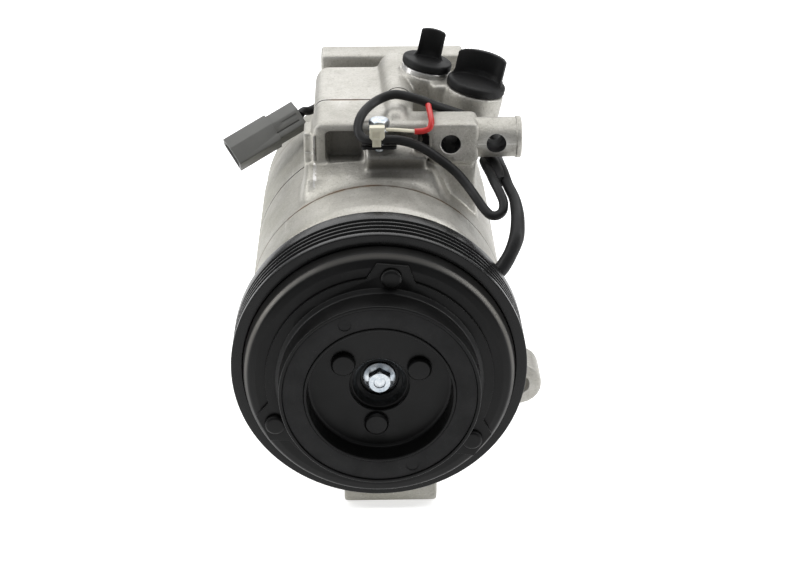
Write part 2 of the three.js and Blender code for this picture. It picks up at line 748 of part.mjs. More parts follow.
const sleeveRoute = [
  [44.4, 27.6, 25.6], [48.6, 28, 28.2], [53, 30, 32.2], [56.8, 33, 37.6], [59.5, 37.5, 42.8],
  [60.6, 45, 47.2], [60.8, 53, 49.4], [60.2, 60, 51.6], [58.9, 68, 54.2], [57.2, 77, 56.4],
  [55.8, 85, 56.7], [54.8, 92, 56.4], [54.2, 98, 55.6],
];
const clutchLeadRoute = [
  [54.2, 98.4, 55.6], [54.6, 103, 55], [56.6, 109, 54.6], [59, 115, 54.2], [60.6, 122, 53.4],
  [60.4, 130, 52.2], [58.6, 138, 51], [56, 146, 50.2], [53, 153.6, 50.4], [51.2, 159.8, 51.2],
  [47.4, 164, 53.2], [41.4, 166, 55.8], [34, 166.4, 58.6], [25, 166.2, 61.4], [15, 166, 62.6], [4, 165.8, 62.8],
  [-7, 165.6, 62.4], [-16, 165.6, 61.8], [-22.8, 164.4, 61.2], [-28.6, 160.8, 60.2],
  [-31.8, 157.6, 58.6], [-34.2, 155.3, 57.1], [-36.6, 154.16, 55.79],
];
const fuseLeadRoute = [
  [50, 87, 56], [50, 81, 57.8], [50.6, 74, 57.6], [52, 67, 56], [53.8, 61, 53.6], [54.8, 56.5, 50.6],
  [53.6, 54, 48], [50.4, 54.2, 47.2], [47.2, 56.4, 48.8], [43.8, 60, 51.5], [40.2, 65, 55.2],
  [35.1, 69.6, 60], [27.5, 72, 65.7], [19.8, 72.2, 71], [12.2, 72, 74], [5, 72, 74.8],
  [-1.5, 72, 74.6], [-5.6, 73.2, 75], [-7.2, 76.4, 78.2], [-6.2, 81.2, 82], [-2.9, 89, 84],
  [2, 94, 85.6], [8.1, 94.6, 87.5], [14.3, 94.4, 86.7], [20.4, 94.2, 84.9], [26.6, 95.8, 81.7],
  [32.3, 97.6, 79], [38.5, 98.8, 76.4], [45, 99.6, 72.6], [51, 100.4, 68], [54.8, 101.6, 63],
  [55, 102.6, 58.6],
];
const fuseWireRoute = [[4.2, 68.6, 80.8], [8.6, 69, 80.5], [12.6, 70.4, 79.6], [17.4, 71.8, 78.6]];
const fuseSleeveRoute = [
  [16.8, 71.7, 78.6], [20.6, 72, 78.7], [23.3, 72.6, 79.6], [24.2, 74.4, 81.6],
  [24.1, 79, 82.8], [23.8, 85, 83.4], [23.5, 90.4, 83.8],
];

function leadClamp() {
  const plate = block(-6.5, 9, 69.6, 81.6, 70.9, 72.1);
  const spacer = rodZ(66.3, 71, CLAMP_BOLT.x, CLAMP_BOLT.y, 4.2, SMALL);
  return cut(joined(plate, spacer), rodZ(60, 80, CLAMP_BOLT.x, CLAMP_BOLT.y, 2.9, COARSE));
}

function clampBolt() {
  const hex = new THREE.CylinderGeometry(4.6, 4.6, 3.8, 6);
  hex.rotateX(Math.PI / 2);
  hex.translate(CLAMP_BOLT.x, CLAMP_BOLT.y, 80.6);
  return joined(
    solid(hex),
    rodZ(77.4, 78.8, CLAMP_BOLT.x, CLAMP_BOLT.y, 4.7, MEDIUM),
    rodZ(58, 78, CLAMP_BOLT.x, CLAMP_BOLT.y, 2.6, COARSE),
  );
}

function wireClip() {
  return joined(
    block(-2.9, 3.7, 65.6, 69.3, 76.9, 82.7),
    block(-1.7, 2.1, 66, 68.9, 73, 77.2),
  );
}

function thermalFuse() {
  return joined(cord(fuseWireRoute, FUSE_WIRE_RADIUS), cord(fuseSleeveRoute, FUSE_SLEEVE_RADIUS));
}

// A hollow plug, its mouth along its own +X, with a wider collar on the mouth's half.
function leadConnector() {
  const body = block(0, 16, -5.2, 5.2, -5.7, 5.7);
  const collar = block(15, CONNECTOR.length, -6, 6, -6.6, 6.6);
  const mouth = block(20, CONNECTOR.length + 1, -4.3, 4.3, -4.9, 4.9);
  return cut(joined(body, collar), mouth);
}

// ---------------------------------------------------------------- assembly

place('front_housing', frontHousing(), castAluminium);
place('front_cylinder_block', frontCylinderBlock(), castAluminium);
place('rear_cylinder_block', rearCylinderBlock(), castAluminium);
place('rear_housing', rearHousing(), castAluminium);
place('front_valve_plate', valvePlate(FRONT_JOINT - GAP / 2 - VALVE_RECESS + GAP, true), steel);
place('rear_valve_plate', valvePlate(REAR_JOINT + 2 * GAP, false), steel);
place('port_manifold', portManifold(), castAluminium);
place('discharge_port_plug', portPlug(SMALL_PORT, SMALL_TAB), blackRubber);
place('suction_port_plug', portPlug(LARGE_PORT, LARGE_TAB), blackRubber);

place('drive_shaft', driveShaft(), steel);
place('shaft_seal', washer(SHAFT_RADIUS + GAP, SHAFT_BORE - GAP, 12, 20), sealRubber);
place('front_shaft_bearing', washer(SHAFT_RADIUS + GAP, SHAFT_BORE - 0.5, 68, 86), bearingSteel);
place('rear_shaft_bearing', washer(SHAFT_RADIUS + GAP, SHAFT_BORE - 0.5, 142, 158), bearingSteel);
place('swash_plate', swashPlate(), steel).position.set(0, PLATE_Y, 0);
const thrustInner = PLATE_BOSS + GAP;
const thrustOuter = CRANK_HALF - GAP;
place('front_thrust_bearing', washer(10, 17, PLATE_Y - thrustOuter, PLATE_Y - thrustInner), bearingSteel);
place('rear_thrust_bearing', washer(10, 17, PLATE_Y + thrustInner, PLATE_Y + thrustOuter), bearingSteel);

pistonAngles.forEach((angle, i) => {
  const station = new THREE.Group();
  station.rotation.y = -angle;
  station.position.set(PISTON_PITCH * Math.cos(angle), PLATE_Y, PISTON_PITCH * Math.sin(angle));
  compressor.add(station);
  place(`piston_${i + 1}`, piston(), machinedAluminium, station);
  const frontShoe = place(`front_shoe_${i + 1}`, shoe(), bearingSteel, station);
  frontShoe.position.y = -SHOE_FLAT;
  frontShoe.rotation.x = Math.PI;
  place(`rear_shoe_${i + 1}`, shoe(), bearingSteel, station).position.y = SHOE_FLAT;
});

boltAngles.forEach((angle, i) => {
  const [x, z] = [THROUGH_BOLT_PITCH * Math.cos(angle), THROUGH_BOLT_PITCH * Math.sin(angle)];
  place(`through_bolt_${i + 1}`, throughBolt(), zincSteel).position.set(x, 0, z);
});

place('pulley', pulley(), blackPaint);
place('pulley_bearing_outer_ring', washer(23.4, BEARING_OUTSIDE, 3.3, 22.8), bearingSteel);
place('pulley_bearing_inner_ring', washer(NOSE_RADIUS + GAP, 20.6, 3.3, 23.8), bearingSteel);
place('clutch_coil', clutchCoil(), coilResin);
place('armature_plate', armaturePlate(), blackPaint);
place('outer_hub', outerHub(), blackPaint);
place('rubber_damper', rubberDamper(), blackRubber);
place('hub_cup', hubCup(), blackPaint);
place('inner_hub', innerHub(), blackPaint);
place('hub_bolt', hubBolt(), zincSteel);

lobeAngles.forEach((angle, i) => {
  const shape = rivet(-6.7, FLANGE_FRONT - GAP, 5, [[RIVET_SHANK, 0.8], [0, 0.8]]);
  const [x, z] = [ARMATURE_RIVET_PITCH * Math.cos(angle), ARMATURE_RIVET_PITCH * Math.sin(angle)];
  place(`armature_rivet_${i + 1}`, shape, blackPaint).position.set(x, 0, z);
});
hubRivetAngles.forEach((angle, i) => {
  const tail = [[RIVET_SHANK, -7.7], [4.6, -7.7], [4.6, -6.2], [0, -6.2]];
  const shape = rivet(CUP_FLOOR - 2.5, CUP_FLOOR - GAP, 5.1, tail);
  const [x, z] = [HUB_RIVET_PITCH * Math.cos(angle), HUB_RIVET_PITCH * Math.sin(angle)];
  place(`hub_rivet_${i + 1}`, shape, blackPaint).position.set(x, 0, z);
});

place('lead_clamp', leadClamp(), clampSteel);
place('clamp_bolt', clampBolt(), zincSteel);
place('wire_clip', wireClip(), clipPlastic);
place('thermal_fuse', thermalFuse(), fuseSleeve);
place('coil_lead_sleeve', cord(sleeveRoute, SLEEVE_RADIUS, 10), cableSleeve);
place('clutch_lead', cord(clutchLeadRoute, LEAD_RADIUS), cableSleeve);
place('fuse_lead', cord(fuseLeadRoute, LEAD_RADIUS), cableSleeve);
const connector = place('lead_connector', leadConnector(), connectorPlastic);
connector.position.set(CONNECTOR.x, CONNECTOR.y, CONNECTOR.z);
connector.setRotationFromMatrix(new THREE.Matrix4().makeBasis(
  CONNECTOR_AXIS,
  CONNECTOR_TOP,
  new THREE.Vector3().crossVectors(CONNECTOR_AXIS, CONNECTOR_TOP).normalize(),
));

export default compressor;
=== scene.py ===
"""Looks of the automotive AC compressor. Shapes are worked out in millimetres on the shaft's own axes:
x to the right seen from the clutch, y from the pulley's front rim into the body, z up."""

import json
import math

import bmesh
import bpy
from mathutils import Matrix, Vector


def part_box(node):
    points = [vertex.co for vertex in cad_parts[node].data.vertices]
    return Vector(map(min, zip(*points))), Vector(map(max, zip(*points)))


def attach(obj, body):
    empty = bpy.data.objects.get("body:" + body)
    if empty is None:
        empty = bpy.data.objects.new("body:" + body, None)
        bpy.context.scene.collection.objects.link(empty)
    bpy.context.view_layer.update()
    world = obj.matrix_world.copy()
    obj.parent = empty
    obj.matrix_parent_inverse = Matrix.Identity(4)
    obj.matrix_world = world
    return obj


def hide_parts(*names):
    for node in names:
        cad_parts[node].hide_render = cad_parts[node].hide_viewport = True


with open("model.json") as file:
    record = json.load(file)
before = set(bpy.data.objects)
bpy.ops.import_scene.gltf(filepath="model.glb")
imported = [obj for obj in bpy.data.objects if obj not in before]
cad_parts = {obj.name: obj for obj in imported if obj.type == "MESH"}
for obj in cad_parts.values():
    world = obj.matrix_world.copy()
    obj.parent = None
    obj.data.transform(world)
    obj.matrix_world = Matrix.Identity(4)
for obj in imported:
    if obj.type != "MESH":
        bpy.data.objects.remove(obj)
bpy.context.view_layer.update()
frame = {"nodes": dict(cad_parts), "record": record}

# ---- frame

MM = 0.001
pulley_low, pulley_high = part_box("pulley")
SHAFT = Vector(((pulley_low.x + pulley_high.x) / 2, pulley_low.y, (pulley_low.z + pulley_high.z) / 2))
TO_FRAME = Matrix.Translation(SHAFT) @ Matrix.Scale(MM, 4)

BODY_RADIUS = 56.7
REAR_RADIUS = 56.1
FRONT_JOINT = 63.4
MIDDLE_JOINT = 112.0
REAR_JOINT = 165.0
BODY_BACK = 192
HALF_GAP = 0.15
SEAM = 0.3
PULLEY_RADIUS = 62.06
PULLEY_BACK = 23.5
THIRD = 2 * math.pi / 3
FIFTH = 2 * math.pi / 5
PISTON_PITCH = 34.0
BOLT_PITCH = 46.0
LOBE_ANGLES = [math.radians(84.1) + i * THIRD for i in range(3)]
LOBE_PITCH = 47.8
LOBE_REACH = 53.5
LOBE_BASE = 19.8
LOBE_TIP = 12.9
FLANGE_RADIUS = 47.3
HUB_RIVET_PITCH = 18
HUB_RIVET_ANGLES = [math.radians(25.5) + i * THIRD for i in range(3)]
PISTON_ANGLES = [math.pi / 2 + i * FIFTH for i in range(5)]
BOLT_ANGLES = [math.pi / 2 + (i + 0.5) * FIFTH for i in range(5)]
BOSS_RADIUS = 9.3
BOSS_BORE = 4.4
RIVET_HOLE = 3.3
BOLT_HOLE = 3.4
PISTON_BORE = 14.6
UPPER_Z = 70.6
LEFT_HOLE_X = 33
RIGHT_HOLE_X = 53.2
TUBE_Y = 85
CLAMP_BOLT = (1.4, 77.2)
EAR = (63, -30)
FOOT_Z = -82.2
FOOT_LEFT = -16
FOOT_RIGHT = 26.4
SADDLE_LEFT = -28.3
CAST_DARK = (0.40, 0.385, 0.345)
CAST_LIGHT = (0.57, 0.555, 0.515)
BARE_STEEL = (0.15, 0.143, 0.13)
RIM_BARE_FROM = 54.5
# Boxes of painted shade on the castings: under the clamp pad's front face and in the pocket.
PAINTED_SHADE_BOXES = [((9, 74.2, 60.9), (14, 4.4, 5.2), 0.74), ((-13.8, 87.6, 67.6), (8, 5.2, 7.0), 0.8)]


def at(x, y, z):
    """A point on the shaft's axes, in the frame's metres."""
    return TO_FRAME @ Vector((x, y, z))


# ---- camera, light and floor

CAMERA_PLACE = (-6.0, -598.3, 336.3)
CAMERA_FORWARD = (0.022, 0.8968, -0.442)
CAMERA_LENS = 73.67


def make_camera():
    data = bpy.data.cameras.new("camera")
    data.lens = CAMERA_LENS
    data.sensor_width = 36
    data.clip_start = 0.05
    camera = bpy.data.objects.new("camera", data)
    camera.location = at(*CAMERA_PLACE)
    camera.rotation_euler = Vector(CAMERA_FORWARD).to_track_quat("-Z", "Y").to_euler()
    bpy.context.scene.collection.objects.link(camera)
    bpy.context.scene.camera = camera


def make_light(name, place, target, size, power):
    data = bpy.data.lights.new(name, "AREA")
    data.shape = "RECTANGLE"
    data.size, data.size_y = size
    data.energy = power
    light = bpy.data.objects.new(name, data)
    light.location = place
    light.rotation_euler = (Vector(target) - Vector(place)).to_track_quat("-Z", "Y").to_euler()
    bpy.context.scene.collection.objects.link(light)


def make_stage():
    world = bpy.data.worlds.new("studio")
    world.use_nodes = True
    nodes, links = world.node_tree.nodes, world.node_tree.links
    background = nodes["Background"]
    background.inputs["Color"].default_value = (0.95, 0.97, 1.0, 1)
    rays = nodes.new("ShaderNodeLightPath")
    strength = nodes.new("ShaderNodeMapRange")
    strength.inputs["To Min"].default_value = 0.26
    strength.inputs["To Max"].default_value = 1.0
    links.new(rays.outputs["Is Camera Ray"], strength.inputs["Value"])
    links.new(strength.outputs["Result"], background.inputs["Strength"])
    bpy.context.scene.world = world
    bpy.context.scene.view_settings.view_transform = "Standard"
    middle = (0, 0, 0.09)
    make_light("overhead", (0.0, 0.25, 1.25), middle, (2.0, 1.8), 16)
    make_light("back_softbox", (0.0, 1.5, 0.8), middle, (2.0, 0.8), 9)
    make_light("left_softbox", (-0.85, -0.05, 0.5), middle, (0.12, 0.9), 3.8)
    make_light("right_softbox", (0.85, -0.05, 0.5), middle, (0.12, 0.9), 3.8)
    floor = bpy.data.meshes.new("floor")
    floor.from_pydata([(-4, -4, 0), (4, -4, 0), (4, 4, 0), (-4, 4, 0)], [], [(0, 1, 2, 3)])
    floor_object = bpy.data.objects.new("floor", floor)
    bpy.context.scene.collection.objects.link(floor_object)
    floor.materials.append(floor_material())


# ---- materials

class Nodes:
    """A material's node tree, with short ways to add what every surface here is made of."""

    def __init__(self, name):
        self.material = bpy.data.materials.new(name)
        self.material.use_nodes = True
        self.tree = self.material.node_tree
        self.shader = self.tree.nodes["Principled BSDF"]
        self.position = self.add("ShaderNodeTexCoord").outputs["Object"]

    def add(self, kind, **settings):
        node = self.tree.nodes.new(kind)
        for key, value in settings.items():
            setattr(node, key, value)
        return node

    def link(self, source, target):
        self.tree.links.new(source, target)

    def noise(self, scale, detail=4.0, roughness=0.55, stretch=None):
        """Noise with features about 1/scale metres across; stretch squeezes it along the three axes."""
        node = self.add("ShaderNodeTexNoise")
        node.inputs["Scale"].default_value = scale
        node.inputs["Detail"].default_value = detail
        node.inputs["Roughness"].default_value = roughness
        source = self.position
        if stretch:
            mapping = self.add("ShaderNodeMapping")
            mapping.inputs["Scale"].default_value = stretch
            self.link(source, mapping.inputs["Vector"])
            source = mapping.outputs["Vector"]
        self.link(source, node.inputs["Vector"])
        return node.outputs["Fac"]

    def spread(self, value, low, high, out_low=0.0, out_high=1.0):
        """Maps value from low..high to out_low..out_high, held at its ends."""
        node = self.add("ShaderNodeMapRange")
        for key, number in zip(("From Min", "From Max", "To Min", "To Max"), (low, high, out_low, out_high)):
            node.inputs[key].default_value = number
        self.link(value, node.inputs["Value"])
        return node.outputs["Result"]

    def math(self, operation, first, second=None):
        node = self.add("ShaderNodeMath", operation=operation)
        for slot, value in enumerate((first, second)):
            if value is None:
                continue
            if isinstance(value, (int, float)):
                node.inputs[slot].default_value = value
            else:
                self.link(value, node.inputs[slot])
        return node.outputs[0]

    def times(self, first, second):
        return self.math("MULTIPLY", first, second)

    def cloudy(self, scale, low, high):
        """A number that wanders between low and high in patches about 1/scale metres across."""
        return self.spread(self.noise(scale), 0.3, 0.7, low, high)

    def mix(self, factor, first, second):
        node = self.add("ShaderNodeMix", data_type="RGBA")
        self.link(factor, node.inputs["Factor"])
        color_inputs = [s for s in node.inputs if s.type == "RGBA"]
        for socket, value in zip(color_inputs, (first, second)):
            if isinstance(value, tuple):
                socket.default_value = (*value, 1)
            else:
                self.link(value, socket)
        return [s for s in node.outputs if s.type == "RGBA"][0]

    def bump(self, height, distance, strength=1.0, under=None):
        node = self.add("ShaderNodeBump")
        node.inputs["Strength"].default_value = strength
        node.inputs["Distance"].default_value = distance
        self.link(height, node.inputs["Height"])
        if under:
            self.link(under, node.inputs["Normal"])
        return node.outputs["Normal"]

    def edges(self, low, high):
        """1 on outer edges of dense meshes, where a finish wears first."""
        return self.spread(self.add("ShaderNodeNewGeometry").outputs["Pointiness"], low, high)

    def near_box(self, centre, half):
        """1 inside a box given in millimetres on the shaft's axes, fading out past its sides."""
        middle = at(*centre)
        deepest = None
        for name, value, reach in zip("XYZ", middle, half):
            away = self.math("ABSOLUTE", self.math("SUBTRACT", self.axis(name), value))
            share = self.math("DIVIDE", away, reach * MM)
            deepest = share if deepest is None else self.math("MAXIMUM", deepest, share)
        return self.spread(deepest, 0.75, 1.25, 1, 0)

    def from_shaft(self):
        """Distance from the shaft's axis, in metres."""
        x = self.math("SUBTRACT", self.axis("X"), SHAFT.x)
        z = self.math("SUBTRACT", self.axis("Z"), SHAFT.z)
        return self.math("SQRT", self.math("ADD", self.times(x, x), self.times(z, z)))

    def axis(self, name):
        split = self.add("ShaderNodeSeparateXYZ")
        self.link(self.position, split.inputs[0])
        return split.outputs[name]

    def set(self, **values):
        for name, value in values.items():
            socket = self.shader.inputs[name.replace("_", " ")]
            if isinstance(value, (int, float)):
                socket.default_value = value
            elif isinstance(value, tuple):
                socket.default_value = (*value, 1)
            else:
                self.link(value, socket)
        return self.material


def floor_material():
    """White paper over a light table, so that the shadow on it stays pale."""
    n = Nodes("floor_white")
    grain = n.cloudy(40, 0.88, 0.9)
    tint = n.add("ShaderNodeCombineColor")
    for socket in tint.inputs[:3]:
        n.link(grain, socket)
    glow = n.spread(n.add("ShaderNodeLightPath").outputs["Is Camera Ray"], 0, 1, 0.3, 0.62)
    return n.set(Base_Color=tint.outputs[0], Roughness=0.8, Emission_Color=(1, 1, 1), Emission_Strength=glow)


def cast_material(name, joints=(FRONT_JOINT, MIDDLE_JOINT, REAR_JOINT)):
    """Shot-blasted aluminium: grain, cloudy tone, a darker olive tone low on its left, painted shade under the
    clamp pad and in the pocket, stained joints.
    """
    n = Nodes(name)
    color = n.mix(n.spread(n.noise(24, 5, 0.6), 0.32, 0.7), CAST_DARK, CAST_LIGHT)
    color = n.mix(n.spread(n.noise(95, 5, 0.65), 0.5, 0.72, 0, 0.45), color, (0.30, 0.29, 0.25))
    # A darker olive tone towards the lower left, in cloudy patches.
    low_left = n.math("SUBTRACT", n.times(n.axis("X"), -1.0), n.times(n.axis("Z"), 0.35))
    low_left_olive = n.times(n.spread(low_left, -0.035, 0.03), n.spread(n.noise(38, 5, 0.65), 0.36, 0.62, 0.25, 0.8))
    color = n.mix(low_left_olive, color, (0.335, 0.325, 0.255))
    color = n.mix(n.spread(n.noise(900, 3, 0.7), 0.54, 0.7, 0, 0.5), color, (0.21, 0.20, 0.17))
    color = n.mix(n.spread(n.noise(1300, 2, 0.7), 0.57, 0.72, 0, 0.4), color, (0.74, 0.73, 0.70))
    color = n.mix(n.edges(0.52, 0.6), color, (0.66, 0.65, 0.62))
    # Painted shade: the cast colour is darkened towards near-black inside these boxes.
    for centre, half, depth in PAINTED_SHADE_BOXES:
        color = n.mix(n.times(n.near_box(centre, half), depth), color, (0.10, 0.095, 0.085))
    along = n.axis("Y")
    patchy = n.spread(n.noise(60, 4, 0.6), 0.44, 0.6)
    for joint in joints:
        away = n.math("ABSOLUTE", n.math("SUBTRACT", along, at(0, joint, 0).y))
        near = n.spread(away, 0.0003, 0.0016, 0.8, 0)
        color = n.mix(n.times(near, patchy), color, (0.30, 0.16, 0.06))
        black = 0.95 if joint == MIDDLE_JOINT else 0.55
        color = n.mix(n.spread(away, 0.00045, 0.00075, black, 0), color, (0.03, 0.027, 0.022))
    normal = n.bump(n.noise(2600, 3, 0.6), 0.00012, 0.5)
    normal = n.bump(n.noise(950, 4, 0.6), 0.00025, 0.6, normal)
    normal = n.bump(n.noise(300, 4, 0.55), 0.00035, 0.45, normal)
    return n.set(Base_Color=color, Metallic=0.75, Normal=normal, Roughness=n.cloudy(130, 0.4, 0.58))


def machined_material(name, color=(0.66, 0.65, 0.63), metallic=0.9):
    """A turned or ground metal face with fine tool marks."""
    n = Nodes(name)
    marks = n.noise(260, 3, 0.5, (1, 14, 1))
    tone = n.mix(n.spread(marks, 0.3, 0.7), tuple(0.8 * c for c in color), color)
    return n.set(Base_Color=tone, Metallic=metallic, Normal=n.bump(marks, 0.00004, 0.4),
                 Roughness=n.cloudy(150, 0.24, 0.42))


def black_paint_material(name, wear=0.04, specular=0.19, roughness=(0.28, 0.4), bare_from=None):
    """Satin black coating with dust in patches; outside radius bare_from partly rubbed to steel, with a painted
    highlight: most bare steel on the upper sides, less on top, little below.
    """
    n = Nodes(name)
    clouds = n.noise(35, 5, 0.6)
    color = n.mix(n.spread(clouds, 0.3, 0.7), (0.004, 0.004, 0.004), (0.008, 0.008, 0.0078))
    dust = n.times(n.spread(n.noise(1500, 2, 0.8), 0.62, 0.74, 0, 0.4), n.spread(clouds, 0.45, 0.7))
    color = n.mix(dust, color, (0.05, 0.05, 0.052))
    color = n.mix(n.spread(n.edges(0.53, 0.6), 0, 1, 0, wear), color, (0.035, 0.035, 0.037))
    normal = n.bump(n.noise(1800, 2, 0.5), 0.00005, 0.3)
    if bare_from:
        # Painted highlight: the bare steel fades out below the shaft and thins on top, so it shines most on the
        # upper sides.
        level = n.axis("Z")
        highlight_above_axis = n.spread(level, SHAFT.z - 0.014, SHAFT.z + 0.006, 0.12, 1)
        less_highlight_on_top = n.spread(level, SHAFT.z + 0.028, SHAFT.z + 0.052, 1, 0.45)
        painted_highlight_by_height = n.times(highlight_above_axis, less_highlight_on_top)
        bare_and_highlight = n.spread(n.from_shaft(), bare_from * MM, (bare_from + 1.3) * MM, 0, 0.85)
        ahead = n.spread(n.axis("Y"), at(0, -6.3, 0).y, at(0, -4.7, 0).y, 1, 0.06)
        bare_and_highlight = n.times(n.times(bare_and_highlight, painted_highlight_by_height), ahead)
        color = n.mix(bare_and_highlight, color, BARE_STEEL)
        n.set(Metallic=bare_and_highlight)
    return n.set(Base_Color=color, Normal=normal, Roughness=n.cloudy(90, *roughness),
                 Specular_IOR_Level=specular)


def rubber_material(name, tone=0.007, roughness=(0.5, 0.68)):
    n = Nodes(name)
    light = (1.8 * tone, 1.8 * tone, 1.85 * tone)
    color = n.mix(n.spread(n.noise(45, 5, 0.65), 0.35, 0.7), (tone, tone, tone), light)
    color = n.mix(n.spread(n.noise(1300, 2, 0.8), 0.64, 0.76, 0, 0.35), color, (0.06, 0.06, 0.06))
    normal = n.bump(n.noise(1500, 3, 0.6), 0.00006, 0.5)
    return n.set(Base_Color=color, Normal=normal, Roughness=n.cloudy(120, *roughness),
                 Specular_IOR_Level=0.24)


def plastic_material(name, color, roughness=(0.38, 0.52)):
    n = Nodes(name)
    shade = tuple(0.82 * c for c in color)
    tone = n.mix(n.spread(n.noise(70, 4, 0.6), 0.3, 0.7), shade, color)
    return n.set(Base_Color=tone, Normal=n.bump(n.noise(1400, 3, 0.6), 0.00004, 0.45),
                 Roughness=n.cloudy(160, *roughness))


def zinc_material(name):
    """Bright zinc with its faint blue cast and cloudy passivation."""
    n = Nodes(name)
    tone = n.mix(n.spread(n.noise(300, 4, 0.6), 0.35, 0.65), (0.46, 0.52, 0.58), (0.78, 0.81, 0.83))
    return n.set(Base_Color=tone, Metallic=1.0, Normal=n.bump(n.noise(700, 3), 0.00008, 0.5),
                 Roughness=n.cloudy(320, 0.22, 0.42))


def make_materials():
    recipes = {
        "cast_aluminium": (cast_material, {}),
        "cast_ports": (cast_material, {"joints": ()}),
        # painted shade for the faces inside the cross holes
        "dark_bore": (rubber_material, {"tone": 0.03, "roughness": (0.6, 0.8)}),
        "machined_aluminium": (machined_material, {}),
        "bare_steel": (machined_material, {"color": (0.5, 0.5, 0.5), "metallic": 1.0}),
        "zinc_plate": (zinc_material, {}),
        "black_paint": (black_paint_material, {}),
        "pulley_paint": (black_paint_material, {"specular": 0.26, "roughness": (0.2, 0.32)}),
        "armature_paint": (black_paint_material, {"bare_from": RIM_BARE_FROM}),
        "clamp_steel": (black_paint_material, {"wear": 0.3}),
        "black_rubber": (rubber_material, {}),
        "coil_resin": (plastic_material, {"color": (0.035, 0.035, 0.037)}),
        "cable_sleeve": (rubber_material, {"tone": 0.012, "roughness": (0.36, 0.52)}),
        "connector_plastic": (plastic_material, {"color": (0.128, 0.128, 0.12)}),
        "clip_plastic": (plastic_material, {"color": (0.80, 0.76, 0.60)}),
        "fuse_sleeve": (plastic_material, {"color": (0.52, 0.012, 0.01), "roughness": (0.32, 0.46)}),
    }
    return {name: make(name, **settings) for name, (make, settings) in recipes.items()}


# ---- shapes: (points, faces) in millimetres

def arc_corner(before, corner, after, radius, steps):
    """Points of a round corner of this radius, on an outline's corner in two dimensions."""
    b, c, a = Vector(before), Vector(corner), Vector(after)
    into, out = (b - c), (a - c)
    reach_limit = 0.49 * min(into.length, out.length)
    into.normalize()
    out.normalize()
    half = math.acos(max(-1.0, min(1.0, into.dot(out)))) / 2
    if half < 0.02 or half > math.pi / 2 - 0.02:
        return [tuple(c)]
    reach = min(radius / math.tan(half), reach_limit)
    radius = reach * math.tan(half)
    middle = c + (into + out).normalized() * (radius / math.sin(half))
    start, end = c + into * reach - middle, c + out * reach - middle
    turn = math.atan2(start.x * end.y - start.y * end.x, start.dot(end))
    points = []
    for i in range(steps + 1):
        angle = turn * i / steps
        points.append((
            middle.x + start.x * math.cos(angle) - start.y * math.sin(angle),
            middle.y + start.x * math.sin(angle) + start.y * math.cos(angle),
        ))
    return points


def rounded(points, radius=0.0, steps=5, closed=True):
    """An outline with round corners. A point may carry its own radius as a third number."""
    result = []
    count = len(points)
    for i, point in enumerate(points):
        own = point[2] if len(point) > 2 else radius
        ends = not closed and i in (0, count - 1)
        if own <= 0 or ends:
            result.append(tuple(point[:2]))
            continue
        result += arc_corner(points[i - 1][:2], point[:2], points[(i + 1) % count][:2], own, steps)
    return result


def turned(profile, segments, closed=True, axis="y", centre=(0, 0, 0)):
    """A profile of (radius, along) points turned about an axis. An open one starts and ends on the axis."""
    points, rows = [], []
    for radius, along in profile:
        if radius < 1e-6:
            points.append((0.0, along, 0.0))
            rows.append([len(points) - 1] * segments)
            continue
        row = []
        for i in range(segments):
            angle = 2 * math.pi * i / segments
            points.append((radius * math.cos(angle), along, radius * math.sin(angle)))
            row.append(len(points) - 1)
        rows.append(row)
    faces = []
    pairs = list(zip(rows, rows[1:] + rows[:1])) if closed else list(zip(rows, rows[1:]))
    for first, second in pairs:
        for i in range(segments):
            j = (i + 1) % segments
            corners = [first[i], first[j], second[j], second[i]]
            unique = list(dict.fromkeys(corners))
            if len(unique) > 2:
                faces.append(unique)
    order = {"x": (1, 0, 2), "y": (0, 1, 2), "z": (0, 2, 1)}[axis]
    placed = [tuple(p[k] + c for k, c in zip(order, centre)) for p in points]
    return placed, faces


def lathe(profile, segments, axis="y", centre=(0, 0, 0), steps=5):
    """A solid turned from a profile that starts and ends on the axis, with its corners rounded."""
    return turned(rounded(profile, closed=False, steps=steps), segments, False, axis, centre)


def place_on(axis, across, along=0):
    """A point from its place along an axis and its two places across it, in order."""
    return {"x": (along, *across), "y": (across[0], along, across[1]), "z": (*across, along)}[axis]


def polar(radius, angle):
    return radius * math.cos(angle), radius * math.sin(angle)


def rod(axis, low, high, across, radius, segments=64):
    """A round bar along an axis; across is its centre on the other two axes, in order."""
    profile = [(0, low), (radius, low), (radius, high), (0, high)]
    return lathe(profile, segments, axis, place_on(axis, across))


def holes_round(pitch, angles, radius, low, high, segments=32):
    return [rod("y", low, high, polar(pitch, angle), radius, segments) for angle in angles]


def prism(outline, axis, low, high, end=None):
    """An outline on the other two axes, in order, raised along an axis to itself or to another outline, end."""
    count = len(outline)
    points = [place_on(axis, spot, low) for spot in outline]
    points += [place_on(axis, spot, high) for spot in end or outline]
    faces = [list(range(count)), list(range(2 * count - 1, count - 1, -1))]
    for i in range(count):
        j = (i + 1) % count
        faces.append([i, i + count, j + count, j])
    return points, faces


def brick(x0, x1, y0, y1, z0, z1):
    return prism([(x0, y0), (x1, y0), (x1, y1), (x0, y1)], "z", z0, z1)


def moved(shape, matrix):
    points, faces = shape
    return [tuple(matrix @ Vector(p)) for p in points], faces


def together(*shapes):
    points, faces = [], []
    for more_points, more_faces in shapes:
        start = len(points)
        points += more_points
        faces += [[start + i for i in face] for face in more_faces]
    return points, faces


def circle(radius, steps, centre=(0, 0), start=0.0):
    angles = [start + 2 * math.pi * i / steps for i in range(steps)]
    return [(centre[0] + radius * math.cos(angle), centre[1] + radius * math.sin(angle)) for angle in angles]


